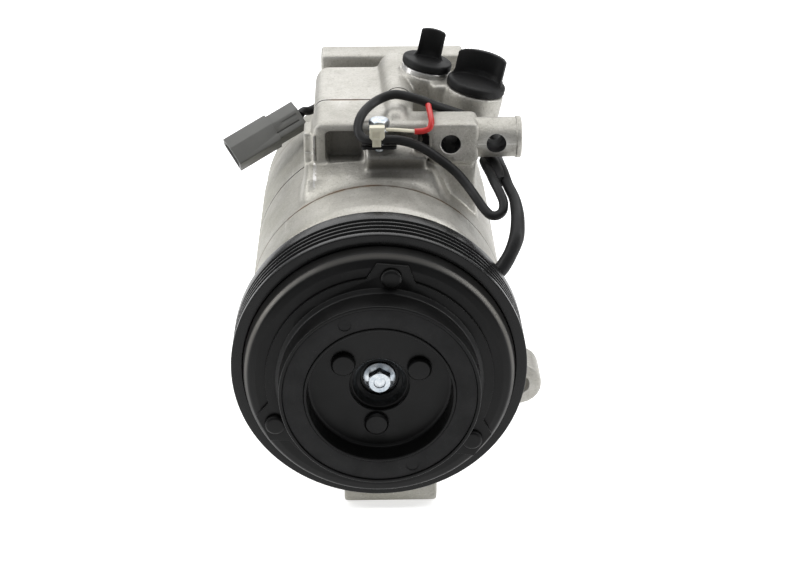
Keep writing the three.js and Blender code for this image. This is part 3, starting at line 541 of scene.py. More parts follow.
def smooth_route(points, per_span=8):
    """The centripetal Catmull-Rom curve through points, in the same units."""
    p = [Vector(q) for q in points]
    p = [2 * p[0] - p[1]] + p + [2 * p[-1] - p[-2]]
    result = []
    for i in range(1, len(p) - 2):
        knots = [0.0]
        for a, b in zip(p[i - 1:i + 2], p[i:i + 3]):
            knots.append(knots[-1] + math.sqrt((b - a).length))
        t0, t1, t2, t3 = knots
        for step in range(per_span):
            t = t1 + (t2 - t1) * step / per_span
            a1 = p[i - 1].lerp(p[i], (t - t0) / (t1 - t0))
            a2 = p[i].lerp(p[i + 1], (t - t1) / (t2 - t1))
            a3 = p[i + 1].lerp(p[i + 2], (t - t2) / (t3 - t2))
            b1 = a1.lerp(a2, (t - t0) / (t2 - t0))
            b2 = a2.lerp(a3, (t - t1) / (t3 - t1))
            result.append(b1.lerp(b2, (t - t1) / (t2 - t1)))
    result.append(p[-2])
    return result


# ---- objects

def as_object(name, shape):
    mesh = bpy.data.meshes.new(name)
    mesh.from_pydata(shape[0], [], shape[1])
    build = bmesh.new()
    build.from_mesh(mesh)
    bmesh.ops.remove_doubles(build, verts=build.verts, dist=1e-5)
    bmesh.ops.recalc_face_normals(build, faces=build.faces)
    build.to_mesh(mesh)
    build.free()
    made = bpy.data.objects.new(name, mesh)
    bpy.context.scene.collection.objects.link(made)
    return made


def settle(made):
    """Applies an object's modifiers to its mesh."""
    bpy.context.view_layer.update()
    evaluated = made.evaluated_get(bpy.context.evaluated_depsgraph_get())
    mesh = bpy.data.meshes.new_from_object(evaluated)
    made.modifiers.clear()
    old = made.data
    made.data = mesh
    bpy.data.meshes.remove(old)
    mesh.name = made.name
    return made


def shave(made, *cutters, operation="DIFFERENCE"):
    """Cuts closed shapes out of a closed object, or joins or intersects it with them."""
    for cutter in cutters:
        tool = as_object("cutter", cutter)
        cut_by(made, tool, operation)
        drop(tool)
    return made


def copy_of(made, name):
    twin = bpy.data.objects.new(name, made.data.copy())
    twin.data.name = name
    bpy.context.scene.collection.objects.link(twin)
    return twin


def drop(made):
    mesh = made.data
    bpy.data.objects.remove(made)
    bpy.data.meshes.remove(mesh)


def common(first, second):
    """What two closed shapes share."""
    made = shave(as_object("shared", first), second, operation="INTERSECT")
    shape = [tuple(v.co) for v in made.data.vertices], [list(f.vertices) for f in made.data.polygons]
    drop(made)
    return shape


def cut_by(made, tool, operation):
    modifier = made.modifiers.new("cut", "BOOLEAN")
    modifier.operation = operation
    modifier.solver = "EXACT"
    modifier.object = tool
    return settle(made)


def soften(made, width, segments=3, angle=30):
    """Rounds every edge sharper than angle."""
    modifier = made.modifiers.new("round", "BEVEL")
    modifier.width = width
    modifier.segments = segments
    modifier.limit_method = "ANGLE"
    modifier.angle_limit = math.radians(angle)
    modifier.use_clamp_overlap = True
    return settle(made)


def cast(name, shape, voxel=0.8, relax=14, keep=0.35):
    """One cast piece out of overlapping closed shapes: remeshed whole, relaxed into fillets, thinned."""
    made = as_object(name, shape)
    remesh = made.modifiers.new("whole", "REMESH")
    remesh.mode = "VOXEL"
    remesh.voxel_size = voxel
    relaxing = made.modifiers.new("relax", "SMOOTH")
    relaxing.factor = 0.5
    relaxing.iterations = relax
    thin = made.modifiers.new("thin", "DECIMATE")
    thin.ratio = keep
    return settle(made)


def paint_inside(made, material, inside):
    """Gives the faces whose middles pass inside(x, y, z), in millimetres, a second material."""
    back = TO_FRAME.inverted()
    made.data.materials.append(material)
    for face in made.data.polygons:
        if inside(*(back @ face.center)):
            face.material_index = len(made.data.materials) - 1


def done(made, body, slot, nodes=(), sharp=32, material=None):
    """Moves a finished object into the frame, shades it, gives it its finish, hangs it on its body and hides
    the CAD parts it stands for.
    """
    made.data.transform(TO_FRAME)
    made.data.shade_smooth()
    made.data.set_sharp_from_angle(angle=math.radians(sharp))
    made.data.materials.clear()
    made.data.materials.append(material or materials[slot])
    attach(made, body)
    if nodes:
        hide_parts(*nodes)
    return made


# ---- leads

SLEEVE_ROUTE = [
    (44.4, 27.6, 25.6), (48.6, 28, 28.2), (53, 30, 32.2), (56.8, 33, 37.6), (59.5, 37.5, 42.8),
    (60.6, 45, 47.2), (60.8, 53, 49.4), (60.2, 60, 51.6), (58.1, 68, 54.2), (56.5, 77, 56.4),
    (55.1, 85, 56.7), (54.4, 92, 56.4), (54.0, 98, 55.6),
]
CLUTCH_LEAD_ROUTE = [
    (54.2, 98.4, 55.6), (54.6, 103, 55), (56.6, 109, 54.6), (59, 115, 54.2), (60.6, 122, 53.4),
    (60.4, 130, 52.2), (58.6, 138, 51), (56, 146, 50.2), (53, 153.6, 50.4), (51.2, 159.8, 51.2),
    (47.4, 164, 53.2), (41.4, 166, 55.8), (34, 166.4, 58.6), (25, 166.2, 61.4), (15, 166, 62.6),
    (4, 165.8, 62.8), (-7, 165.6, 61.8), (-16, 165.6, 60.4), (-23, 164.6, 58.3),
    (-28.5, 162.6, 56.6), (-32.0, 160.4, 55.8), (-34.4, 158.0, 56.6), (-35.7, 155.6, 56.5),
    (-36.2, 154.2, 56.0),
]
FUSE_LEAD_ROUTE = [
    (48.8, 90, 57.2), (49.0, 84, 58.0), (49.7, 78.5, 58.0), (50.6, 73.5, 57.6), (52, 67, 56),
    (54.0, 61.4, 53.4), (55.3, 57.2, 50.6), (54.7, 54.2, 47.9), (52.3, 52.8, 46.5), (49.6, 53.2, 46.5),
    (46.6, 56.2, 48.5), (43.8, 60, 51.5), (40.2, 65, 55.2), (35.1, 69.6, 60), (27.5, 72, 65.7),
    (19.8, 72.2, 71), (12.2, 72, 74), (5, 72, 74.8), (-1.5, 72, 74.6), (-4.5, 72.5, 74.6),
    (-7.0, 74.3, 75.9), (-7.9, 77.5, 78.7), (-6.5, 82.1, 82.0), (-2.9, 89, 84), (2, 94, 85.6),
    (8.1, 94.6, 87.5), (14.3, 94.4, 86.7), (20.4, 94.2, 84.9), (26.6, 95.8, 81.7), (32.3, 97.6, 79),
    (38.5, 98.8, 76.4), (45, 99.6, 72.6), (51, 100.4, 68), (54.8, 101.6, 63), (55, 102.6, 58.6),
]
FUSE_WIRE_ROUTE = [(4.2, 68.6, 80.8), (8.6, 69, 80.5), (12.6, 70.4, 79.6), (17.4, 71.8, 78.6)]
FUSE_SLEEVE_ROUTE = [
    (16.8, 71.7, 78.6), (20.6, 72, 78.7), (23.3, 72.6, 79.6), (24.2, 74.4, 81.6),
    (24.1, 79, 82.8), (23.8, 85, 83.4), (23.5, 90.4, 83.8),
]
TAPE_ROUTE = [(55.4, 70.5, 54.9), (54.1, 75.5, 56.5), (52.7, 81.5, 57.3), (51.7, 88, 57.2), (51.4, 95, 56.5)]
TAPE_RADII = [2.8, 3.3, 3.8, 4.0, 3.9]
SLEEVE_RADII = [3.1, 3.1, 3.3, 3.1, 3.35, 3.05, 2.85, 2.5, 2.4, 2.7, 3.2, 3.5, 3.5]
CONNECTOR_AT = (-36.4, 154.0, 56.0)
CONNECTOR_AXIS = Vector((-0.849, -0.349, -0.399)).normalized()
CONNECTOR_TOP = Vector((0.0361, -0.789, 0.6133)).normalized()


def lead_curve(name, route, radius, slot, nodes=(), radii=None):
    """A round lead as a curve through its route; returns it with its length in metres."""
    line = [TO_FRAME @ p for p in smooth_route(route)]
    spans = (len(line) - 1) / (len(route) - 1)
    data = bpy.data.curves.new(name, "CURVE")
    data.dimensions = "3D"
    data.bevel_depth = radius * MM
    data.bevel_resolution = 5
    data.use_fill_caps = True
    spline = data.splines.new("POLY")
    spline.points.add(len(line) - 1)
    for i, (point, place) in enumerate(zip(spline.points, line)):
        point.co = (*place, 1)
        if radii:
            first = min(int(i / spans), len(radii) - 2)
            part = i / spans - first
            point.radius = (radii[first] * (1 - part) + radii[first + 1] * part) / radius
    data.materials.append(materials[slot])
    made = bpy.data.objects.new(name, data)
    bpy.context.scene.collection.objects.link(made)
    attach(made, "castings")
    if nodes:
        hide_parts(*nodes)
    length = sum((b - a).length for a, b in zip(line, line[1:]))
    return made, length


def make_connector():
    """A two-way plug: slim cable end with lock slots, wider collar, one broad slanted side, open mouth."""
    def section(grow):
        return rounded([
            (-5.4 - grow, -6.7 - grow, 1.0), (5.4 + grow, -6.7 - grow, 0.9), (5.4 + grow, 1.9, 1.6),
            (1.9 + grow * 0.6, 7.7 + grow, 1.2), (-5.4 - grow, 7.7 + grow, 1.0),
        ], steps=5)
    made = as_object("lead_connector_body", prism(section(0.0), "x", 0.2, 17))
    shave(made, prism(section(0.9), "x", 15, 38.3), operation="UNION")
    shave(
        made,
        prism(rounded([(-4.9, -6.1), (4.9, -6.1), (4.9, 1.6), (1.6, 6.9), (-4.9, 6.9)], 0.8), "x", 20, 39),
        brick(2.4, 15.2, 4.9, 7, -3.8, -3.1),
        brick(2.0, 10.0, 5.1, 7, -1.0, 0.4),
    )
    soften(made, 0.35, 3)
    side = CONNECTOR_AXIS.cross(CONNECTOR_TOP)
    turn = Matrix((CONNECTOR_AXIS, CONNECTOR_TOP, side)).transposed().to_4x4()
    made.data.transform(Matrix.Translation(CONNECTOR_AT) @ turn)
    return done(made, "castings", "connector_plastic", ["lead_connector"])


def make_leads():
    sleeve, sleeve_length = lead_curve(
        "coil_sleeve", SLEEVE_ROUTE, 3.2, "cable_sleeve", ["coil_lead_sleeve"], SLEEVE_RADII)
    connector = make_connector()
    lead, lead_length = lead_curve(
        "connector_lead", CLUTCH_LEAD_ROUTE, 2.1, "cable_sleeve", ["clutch_lead"])
    fuse_lead, fuse_length = lead_curve(
        "thermal_fuse_lead", FUSE_LEAD_ROUTE, 2.1, "cable_sleeve", ["fuse_lead"])
    lead_curve("lead_tape_wrap", TAPE_ROUTE, 3.5, "cable_sleeve", radii=TAPE_RADII)
    lead_curve("fuse_red_sleeve", FUSE_SLEEVE_ROUTE, 1.3, "fuse_sleeve", ["thermal_fuse"])
    lead_curve("fuse_white_wire", FUSE_WIRE_ROUTE, 0.8, "clip_plastic")


# ---- pulley and clutch

def ring(name, profile, segments, steps):
    """An object turned from a closed profile with round corners."""
    return as_object(name, turned(rounded(profile, steps=steps), segments))


def make_pulley():
    outside = [(PULLEY_RADIUS, 0.0, 0.6)]
    for i in range(4):
        middle = 3.9 + 3.56 * i
        outside += [
            (PULLEY_RADIUS, middle - 1.3, 0.25),
            (59.4, middle - 0.35, 0.3),
            (59.4, middle + 0.35, 0.3),
            (PULLEY_RADIUS, middle + 1.3, 0.25),
        ]
    profile = [(26.3, 1.6, 0.3), (57.2, 1.6, 0.1), (57.4, 0.0, 0.2)] + outside + [
        (PULLEY_RADIUS, PULLEY_BACK, 0.8),
        (51, PULLEY_BACK, 0.6),
        (51, 5.2, 1.5),
        (29.5, 5.2, 1.5),
        (29.5, PULLEY_BACK, 0.5),
        (26.3, PULLEY_BACK, 0.3),
    ]
    made = ring("belt_pulley", profile, 192, 4)
    done(made, "pulley", "black_paint", ["pulley"], material=materials["pulley_paint"])


def make_armature():
    profile = [
        (33, -8.6, 0.3), (51.4, -8.6, 2.5), (54.5, -7.7, 2.6), (56.2, -5.2, 1.8), (56.9, -1.5, 0.5),
        (57, 1, 0.3), (24, 1, 0.3), (24, -3.3, 0.3), (33, -3.3, 0.0),
    ]
    made = ring("armature_disc", profile, 192, 6)
    shave(made, *holes_round(LOBE_PITCH, LOBE_ANGLES, RIVET_HOLE, -14, 10))
    done(made, "armature", "black_paint", ["armature_plate"], material=materials["armature_paint"])


def lobed_outline():
    """The flange's edge: a circle with three straight-sided lobes, on x and z."""
    outline = []
    base_half = math.asin(LOBE_BASE / 2 / FLANGE_RADIUS)
    outer_half = math.atan(LOBE_TIP / 2 / LOBE_REACH)
    reach = math.hypot(LOBE_REACH, LOBE_TIP / 2)
    for lobe in LOBE_ANGLES:
        for side in (-outer_half, outer_half):
            outline.append((*polar(reach, lobe + side), 0.8))
        steps = 40
        for i in range(steps + 1):
            angle = lobe + base_half + (THIRD - 2 * base_half) * i / steps
            radius = 1.0 if i in (0, steps) else 0.0
            outline.append((*polar(FLANGE_RADIUS, angle), radius))
    return rounded(outline, steps=4)


def make_outer_hub():
    made = as_object("lobed_hub", prism(lobed_outline(), "y", -10.2, -8.9))
    shave(made, rod("y", -14, 0, (0, 0), 40.4, 192), *holes_round(LOBE_PITCH, LOBE_ANGLES, RIVET_HOLE, -14, 10))
    soften(made, 0.28, 3)
    done(made, "armature", "black_paint", ["outer_hub"])
    wall = [
        (39.9, -23.0, 0.3), (41.3, -23.0, 0.6), (41.3, -13.8, 0.0), (41.5, -12.0, 1.5), (43.4, -10.3, 1.2),
        (43.4, -9.0, 0.0), (39.9, -9.0, 0.3),
    ]
    done(ring("outer_hub_wall", wall, 192, 6), "armature", "black_paint")


def make_damper():
    profile = [(31.06, -22.4, 0.5), (39.84, -22.4, 0.4), (39.84, -13.2, 0.3), (31.06, -13.2, 0.3)]
    made = ring("damper_ring", profile, 160, 4)
    for angle in (math.radians(113), math.radians(292)):
        shave(made, rod("y", -23, -22.1, polar(35.6, angle), 2.7, 40))
    done(made, "armature", "black_rubber", ["rubber_damper"])


def make_hub():
    cup = [
        (29.9, -22.9, 0.5), (31.0, -22.9, 0.3), (31.0, -11.3, 1.6), (12.4, -11.3, 0.2), (12.4, -12.7, 0.4),
        (29.9, -12.7, 1.4),
    ]
    made = ring("hub_cup_sheet", cup, 160, 5)
    holes = holes_round(HUB_RIVET_PITCH, HUB_RIVET_ANGLES, RIVET_HOLE, -20, 0)
    shave(made, *holes)
    done(made, "shaft", "black_paint", ["hub_cup"])
    boss = [
        (3.4, -5.7, 0.2), (8.0, -5.7, 0.3), (8.0, -7.4, 0.5), (9.7, -8.3, 1.6), (11.3, -11.2, 1.0),
        (12.0, -11.0, 0.2), (24, -11.0, 0.3), (24, -8, 0.3), (11.5, -8, 0.8), (11.5, 1.2, 0.4),
        (7.3, 1.2, 0.3), (7.3, -3.6, 0.1), (3.4, -3.6, 0.1),
    ]
    made = ring("inner_hub_boss", boss, 96, 5)
    shave(made, *holes)
    done(made, "shaft", "black_paint", ["inner_hub"])


def make_rivets():
    lobe_profile = [
        (0, -12.6), (3.4, -12.5, 1.4), (4.2, -11.8, 0.5), (4.2, -10.5, 0.1), (3.0, -10.5), (3.0, 0.8, 0.2),
        (0, 0.8),
    ]
    cup_profile = [
        (0, -15.2), (4.3, -15.2, 0.6), (5.1, -14.2, 0.6), (5.1, -13.0, 0.1), (3.0, -13.0), (3.0, -7.7),
        (4.6, -7.7, 0.1), (4.6, -6.2, 0.4), (0, -6.2),
    ]
    for name, node, body, pitch, angles, profile in (
        ("lobe_rivet", "armature_rivet", "armature", LOBE_PITCH, LOBE_ANGLES, lobe_profile),
        ("cup_rivet", "hub_rivet", "shaft", HUB_RIVET_PITCH, HUB_RIVET_ANGLES, cup_profile),
    ):
        for i, angle in enumerate(angles):
            shape = lathe(profile, 48, "y", place_on("y", polar(pitch, angle)), steps=4)
            done(as_object(f"{name}_{i + 1}", shape), body, "black_paint", [f"{node}_{i + 1}"])


def hex_bolt(name, flats, turn, axis, across, segments, head, crown, shank):
    """A hexagon head between two heights, its corners cut to the crown's profile, joined to the shank's."""
    centre = place_on(axis, across)
    made = as_object(name, prism(circle(flats / math.sqrt(3), 6, across, turn), axis, *head))
    shave(made, lathe(crown, segments, axis, centre), operation="INTERSECT")
    return shave(made, lathe(shank, segments, axis, centre), operation="UNION")


def make_hub_bolt():
    crown = [(0, -11.45), (4.3, -11.45), (5.6, -10.6), (5.6, -6.5), (0, -6.5)]
    shank = [
        (0, -7.6), (4.6, -7.6), (6.8, -6.7, 0.3), (6.8, -6.0, 0.2), (3.0, -6.0), (3.0, 12, 0.6), (0, 12),
    ]
    made = hex_bolt("hub_bolt_head", 8.9, math.pi / 6, "y", (0, 0), 64, (-11.4, -7), crown, shank)
    shave(made, lathe([(0, -11.6), (2.6, -11.6), (2.2, -10.9), (0, -10.9)], 48))
    soften(made, 0.16, 2, 25)
    done(made, "shaft", "zinc_plate", ["hub_bolt"])


def make_coil():
    profile = [
        (31, 6, 0.4), (49.9, 6, 0.6), (49.9, 26.7, 0.4), (17.8, 26.7, 0.2), (17.8, 24.4, 0.2), (31, 24.4, 0.2),
    ]
    made = ring("field_coil", profile, 160, 4)
    turn = Matrix.Rotation(-math.radians(30), 4, "Y")
    shave(made, moved(brick(45, 50.9, 24, 26.65, -4, 4), turn), operation="UNION")
    done(made, "castings", "black_paint", ["clutch_coil"])


# ---- castings

def bored(axis, low, high, across, radius, chamfer=0.6):
    """A drill for a through hole, with a countersink at both faces; low and high are the faces."""
    over = 1.0
    profile = [
        (0, low - over), (radius + chamfer + over, low - over), (radius, low + chamfer),
        (radius, high - chamfer), (radius + chamfer + over, high + over), (0, high + over),
    ]
    return lathe(profile, 48, axis, place_on(axis, across))


def foot_shapes(y):
    boss = rod("x", FOOT_LEFT, FOOT_RIGHT, (y, FOOT_Z), BOSS_RADIUS, 64)
    web = prism([(-11, FOOT_Z), (21.4, FOOT_Z), (26, -50), (-16, -50)], "y", y - 5, y + 5)
    rib = prism([(y - 9, -54), (y + 9, -54), (y + 3, FOOT_Z), (y - 3, FOOT_Z)], "x", 2.5, 8)
    return [boss, web, rib]


def make_front_housing():
    back = FRONT_JOINT - HALF_GAP
    shell = lathe([
        (0, 23), (17.5, 23), (17.5, 27), (50, 27), (50, 33), (53, 35), (BODY_RADIUS, 41),
        (BODY_RADIUS, back + 3), (0, back + 3),
    ], 160)
    ear = rod("y", 38.2, 56.8, EAR, 10.2)
    ear_web = prism([(40, -18), (63, -21.5), (63, -38.5), (38, -46)], "y", 41.5, 54.5)
    made = cast("front_housing_casting", together(shell, ear, ear_web, *foot_shapes(42)))
    nose = turned(rounded([(13, 2, 0.4), (17.5, 2, 0.5), (17.5, 27.5), (13, 27.5)]), 96)
    shave(
        made,
        rod("y", back, back + 9, (0, 0), 90),
        rod("y", 0, back + 1, (0, 0), 13, 64),
        rod("y", back - 3.4, back + 1, (0, 0), 52, 96),
        turned([(20, 46), (41, 46), (41, back), (20, back)], 96),
        bored("y", 38, 57, EAR, BOSS_BORE),
        bored("x", FOOT_LEFT, FOOT_RIGHT, (42, FOOT_Z), BOSS_BORE),
        *holes_round(BOLT_PITCH, BOLT_ANGLES, BOLT_HOLE, 48.5, back + 1),
    )
    shave(made, nose, operation="UNION")
    done(made, "castings", "cast_aluminium", ["front_housing"])


def saddle_shape():
    """The block under the lead clamp: round left shoulder, rolled front edge, round back corner."""
    across = rounded([(SADDLE_LEFT, 40), (24, 40), (24, 78.9), (SADDLE_LEFT, 78.9, 5.5)], steps=6)
    above = rounded([
        (SADDLE_LEFT, 82, 2.5), (24, 82), (24, 97), (17, 97), (17, 160), (SADDLE_LEFT, 160, 8),
    ], steps=6)
    along = rounded([(82, 40), (160, 40), (160, 78.9, 2), (82, 78.9, 3.5)], steps=6)
    return common(common(prism(across, "y", 81, 161), prism(above, "z", 39, 80)), prism(along, "x", -30, 25))


def cylinder_hollows(low, high, crank_low, crank_high):
    return [
        *holes_round(PISTON_PITCH, PISTON_ANGLES, PISTON_BORE, low - 1, high + 1, 48),
        rod("y", crank_low, crank_high, (0, 0), 50, 96),
        rod("y", low - 1, high + 1, (0, 0), 12.8, 48),
        *holes_round(BOLT_PITCH, BOLT_ANGLES, BOLT_HOLE, low - 1, high + 1),
    ]


PORT_TILT = math.radians(12)
SMALL_PORT = Matrix.Translation((24.6, 135, 88.3)) @ Matrix.Rotation(PORT_TILT, 4, "Y")
LARGE_PORT = Matrix.Translation((46.8, 122, 81.5)) @ Matrix.Rotation(PORT_TILT, 4, "Y")
SMALL_BORE = 5.6
LARGE_BORE = 9.6
PORT_DROP = 1.5
RING_DROP = 3.8
RIDGE = (10.5, 77.6)


def swept(spots):
    """A closed skin through round sections given as (x, y, z, radius) along y."""
    points, faces, rows = [], [], []
    for x, y, z, radius in spots:
        rows.append(range(len(points), len(points) + 40))
        points += [(x + a, y, z + b) for a, b in circle(radius, 40)]
    for first, second in zip(rows, rows[1:]):
        for i in range(40):
            j = (i + 1) % 40
            faces.append([first[i], first[j], second[j], second[i]])
    return points, faces + [list(rows[0]), list(rows[-1])]


def flare():
    """The hollow slope from the front joint up to the shelf at the saddle's foot, as a height over x and y."""
    xs = [-36 + i for i in range(71)]
    ys = [62, 64.4, 65.4, 66.4, 67.4, 68.4, 69.4, 70.4, 71.4, 72.2, 73, 74, 76, 78, 80, 83, 92]
    points, faces = [], []
    for x in xs:
        skin = math.sqrt(BODY_RADIUS ** 2 - x * x) - 0.3
        side = max(0.0, min(1.0, (x + 34.5) / 4, (34 - x) / 10))
        side = side * side * (3 - 2 * side)
        shelf = 57.9 + 0.6 * min(1.0, max(0.0, (x + 8) / 5)) - 0.12 * max(0.0, -14 - x)
        for y in ys:
            t = min(1.0, max(0.0, (y - 64.4) / 8.6))
            rise = t ** 1.7
            top = shelf + 0.36 * min(9.0, max(0.0, y - 73))
            points.append((x, y, skin + (top - skin) * rise * side))
    count = len(points)
    points += [(x, y, 40) for x, y, _ in points]
    rows, columns = len(xs), len(ys)
    for i in range(rows - 1):
        for j in range(columns - 1):
            a = i * columns + j
            b, c, d = a + 1, a + columns + 1, a + columns
            faces += [[a, b, c, d], [a + count, d + count, c + count, b + count]]
    edge = [i * columns for i in range(rows)] + [(rows - 1) * columns + j for j in range(1, columns)]
    edge += [i * columns + columns - 1 for i in range(rows - 2, -1, -1)] + list(range(columns - 2, 0, -1))
    for a, b in zip(edge, edge[1:] + edge[:1]):
        faces.append([a, b, b + count, a + count])
    return points, faces


def block_shapes():
    over = 3
    low, high = FRONT_JOINT - over, REAR_JOINT + over
    ridge_x, ridge_z = RIDGE
    dome = [(8.9, 90.5 + 5.9 * math.sin(a), 77.2, max(0.3, 5.9 * math.cos(a)))
            for a in (-math.pi / 2 + math.pi / 2 * i / 8 for i in range(9))]
    pad = prism([(76.5, 56), (84, 56), (84, 66.2), (72.0, 66.2), (72.2, 64.4)], "x", -4, 22)
    clamp_seat = prism([(75, 60), (84, 60), (84, 70.8), (77.4, 70.8), (72.6, 66.4)], "x", -4.5, 17)
    return together(
        rod("y", low, high, (0, 0), BODY_RADIUS, 160),
        saddle_shape(),
        flare(),
        brick(-32.3, -27, 84.5, 100, 44, 73.3),
        brick(14, 46, 93, 160, 30, 66),
        rod("y", 88, 99.5, (LEFT_HOLE_X, UPPER_Z - 1), 6.6, 40),
        pad,
        clamp_seat,
        swept(dome + [(9.3, 97, ridge_z, 5.0), (ridge_x, 106, ridge_z, 6.8), (ridge_x, 112, ridge_z, 7.0),
                      (ridge_x - 0.6, 159.5, ridge_z, 8.2)]),
        prism(rounded([(23.8, 61.3), (45.5, 61.3), (45.5, 80.2), (23.8, 80.2)], 2.6), "y", 76, 93.6),
        prism([(20, 62), (44, 62), (46, 30), (20, 48)], "y", 78.5, 96),
        moved(rod("z", -36, -RING_DROP, (0, 0), 12.2, 64), SMALL_PORT),
        moved(rod("z", -30, -PORT_DROP, (0, 0), 13.7, 64), LARGE_PORT),
        rod("z", 58, 83.0, (30.9, 123.9), 5.4, 40),
        brick(26, 36, 125, 148, 60, 82.4),
        brick(34, 44, 128, 148, 60, 79.8),
    )


def manifold_cell(grow):
    """The room of the port manifold as a cutter, its joints moved out by grow."""
    ridge_x, ridge_z = RIDGE
    cell = as_object("cell", brick(24.3 - grow, 80, 106 - grow, 152 + grow, 66.3 - grow, 130))
    shave(cell, brick(5, 26, 112 - grow, 152 + grow, 79.2 - grow, 130), operation="UNION")
    return shave(cell, swept([(ridge_x, 90, ridge_z, 7.6), (ridge_x, 170, ridge_z, 8.6)]))


def make_manifold(whole):
    """The port manifold's share of the cylinder castings, with its two ports."""
    manifold = copy_of(whole, "port_manifold_casting")
    cell = manifold_cell(0.0)
    cut_by(manifold, cell, "INTERSECT")
    drop(cell)
    ring = lathe([(0, -7), (11.4, -7), (11.4, -PORT_DROP, 0.5), (0, -PORT_DROP)], 96, "z")
    shave(manifold, moved(ring, SMALL_PORT), operation="UNION")
    shave(
        manifold,
        moved(rod("z", -11, 9, (0, 0), SMALL_BORE, 48), SMALL_PORT),
        moved(rod("z", -11, 9, (0, 0), LARGE_BORE, 48), LARGE_PORT),
    )
    done(manifold, "castings", "cast_aluminium", ["port_manifold"], material=materials["cast_ports"])
    port_back = SMALL_PORT.inverted()

    def on_ring(x, y, z):
        spot = port_back @ Vector((x, y, z))
        return math.hypot(spot.x, spot.y) < 11.6 and -RING_DROP - 0.3 < spot.z < 0

    paint_inside(manifold, materials["machined_aluminium"], on_ring)


def make_cylinder_castings():
    """The two cylinder blocks and the port manifold are cast in one skin, then parted at their joints."""
    whole = cast("cylinder_castings", block_shapes(), 0.75, 14, 0.4)
    make_manifold(whole)
    cell = manifold_cell(0.04)
    cut_by(whole, cell, "DIFFERENCE")
    drop(cell)
    make_rear_block(whole)
    make_front_block(whole)


def make_rear_block(whole):
    rear = copy_of(whole, "rear_cylinder_casting")
    low, high = MIDDLE_JOINT + SEAM, REAR_JOINT - HALF_GAP
    shave(
        rear,
        rod("y", 50, low, (0, 0), 120),
        rod("y", high, high + 9, (0, 0), 90),
        *cylinder_hollows(low, high, low - 1, 134.8),
    )
    done(rear, "castings", "cast_aluminium", ["rear_cylinder_block"])


def make_front_block(front):
    """Turns what is left of the cylinder castings into the front block."""
    front.name = front.data.name = "front_cylinder_casting"
    low, high = FRONT_JOINT + HALF_GAP, MIDDLE_JOINT - SEAM
    recess = rounded([(-22, 61), (-6.3, 61), (-6.3, 66.3), (21, 66.3), (21, 74.5), (-22, 74.5)], 2.0)
    mouth = rounded([(-23.2, 59.8), (-5.1, 59.8), (-5.1, 65.1), (22.2, 65.1), (22.2, 75.7), (-23.2, 75.7)], 2.8)
    tube = lathe([
        (0, 43), (8.9, 43), (8.9, 62.2, 0.2), (BOSS_RADIUS, 62.4, 0.3), (BOSS_RADIUS, 64.7, 0.7), (0, 64.7),
    ], 96, "x", (0, TUBE_Y, UPPER_Z), steps=4)
    shave(
        front,
        rod("y", low - 9, low, (0, 0), 90),
        rod("y", high, 200, (0, 0), 120),
        prism(recess, "y", 83, 89),
        prism(mouth, "y", 81, 83.6, recess),
    )
    shave(
        front,
        tube,
        brick(45, 62.3, 76.0, 80, UPPER_Z - 0.2, UPPER_Z + 0.2),
        *[brick(-31.6, -28.4, 83.9, 86, z - 0.35, z + 0.35) for z in (64.3, 57.4, 55.0)],
        *[brick(-27.9, -27.1, 81.6, 86, z0, z1) for z0, z1 in ((60.7, 72.9), (53.5, 57.2))],
        operation="UNION",
    )
    shave(
        front,
        bored("x", 20, 64.7, (TUBE_Y, UPPER_Z), BOSS_BORE),
        bored("y", 76, 120, (LEFT_HOLE_X, UPPER_Z), BOSS_BORE, 0.3),
        bored("y", 75.8, 94.2, (RIGHT_HOLE_X, UPPER_Z), BOSS_BORE, 0.3),
        rod("z", 57, 73, CLAMP_BOLT, 2.9, 32),
        *cylinder_hollows(low, high, 93.6, high + 1),
    )
    done(front, "castings", "cast_aluminium", ["front_cylinder_block"])

    reach = BOSS_BORE + 0.3

    def in_hole(x, y, z):
        along = math.hypot(y - TUBE_Y, z - UPPER_Z)
        in_block = math.hypot(x - LEFT_HOLE_X, z - UPPER_Z) < reach and 76.6 < y < 99
        in_tube = math.hypot(x - RIGHT_HOLE_X, z - UPPER_Z) < reach and along < 8.3
        return in_block or in_tube or (along < reach and 21 < x < 63.8)

    # Painted highlight: the front faces of the two upright beads on the left wall get the lighter machined
    # finish, so they show as bright lines.
    def on_left_bead_highlight(x, y, z):
        return -28 < x < -27 and y < 82.2 and 53 < z < 73

    # Painted shade: the faces inside the cross holes get a near-black material.
    paint_inside(front, materials["dark_bore"], in_hole)
    paint_inside(front, materials["machined_aluminium"], on_left_bead_highlight)


def make_rear_housing():
    front = REAR_JOINT + HALF_GAP
    over = 3
    cap = lathe([
        (0, front - over), (REAR_RADIUS, front - over), (REAR_RADIUS, 186), (51, BODY_BACK), (0, BODY_BACK),
    ], 160)
    bar = prism(rounded([(171.5, 61.5), (187.5, 61.5), (187.5, 80.3), (171.5, 80.3)], 1.5), "x", -26, 44)
    web = prism([(-20, UPPER_Z), (38, UPPER_Z), (42, 38), (-26, 38)], "y", 173, 186)
    made = cast("rear_housing_casting", together(cap, bar, web, *foot_shapes(178)))
    shave(
        made,
        rod("y", front - 9, front, (0, 0), 110),
        rod("y", front - 1, front + 3.4, (0, 0), 52, 96),
        rod("y", front, 183, (0, 0), 25, 64),
        turned([(29, front), (41, front), (41, 183), (29, 183)], 96),
        bored("x", -26, 44, (179.5, UPPER_Z), BOSS_BORE),
        bored("x", FOOT_LEFT, FOOT_RIGHT, (178, FOOT_Z), BOSS_BORE),
        *holes_round(BOLT_PITCH, BOLT_ANGLES, BOLT_HOLE, front - 1, 193),
    )
    done(made, "castings", "cast_aluminium", ["rear_housing"])


SMALL_TAB = (5.8, 2.0, 13, math.radians(-6), math.radians(182))
LARGE_TAB = (11.5, 2.3, 11.5, math.radians(-28), math.radians(166))


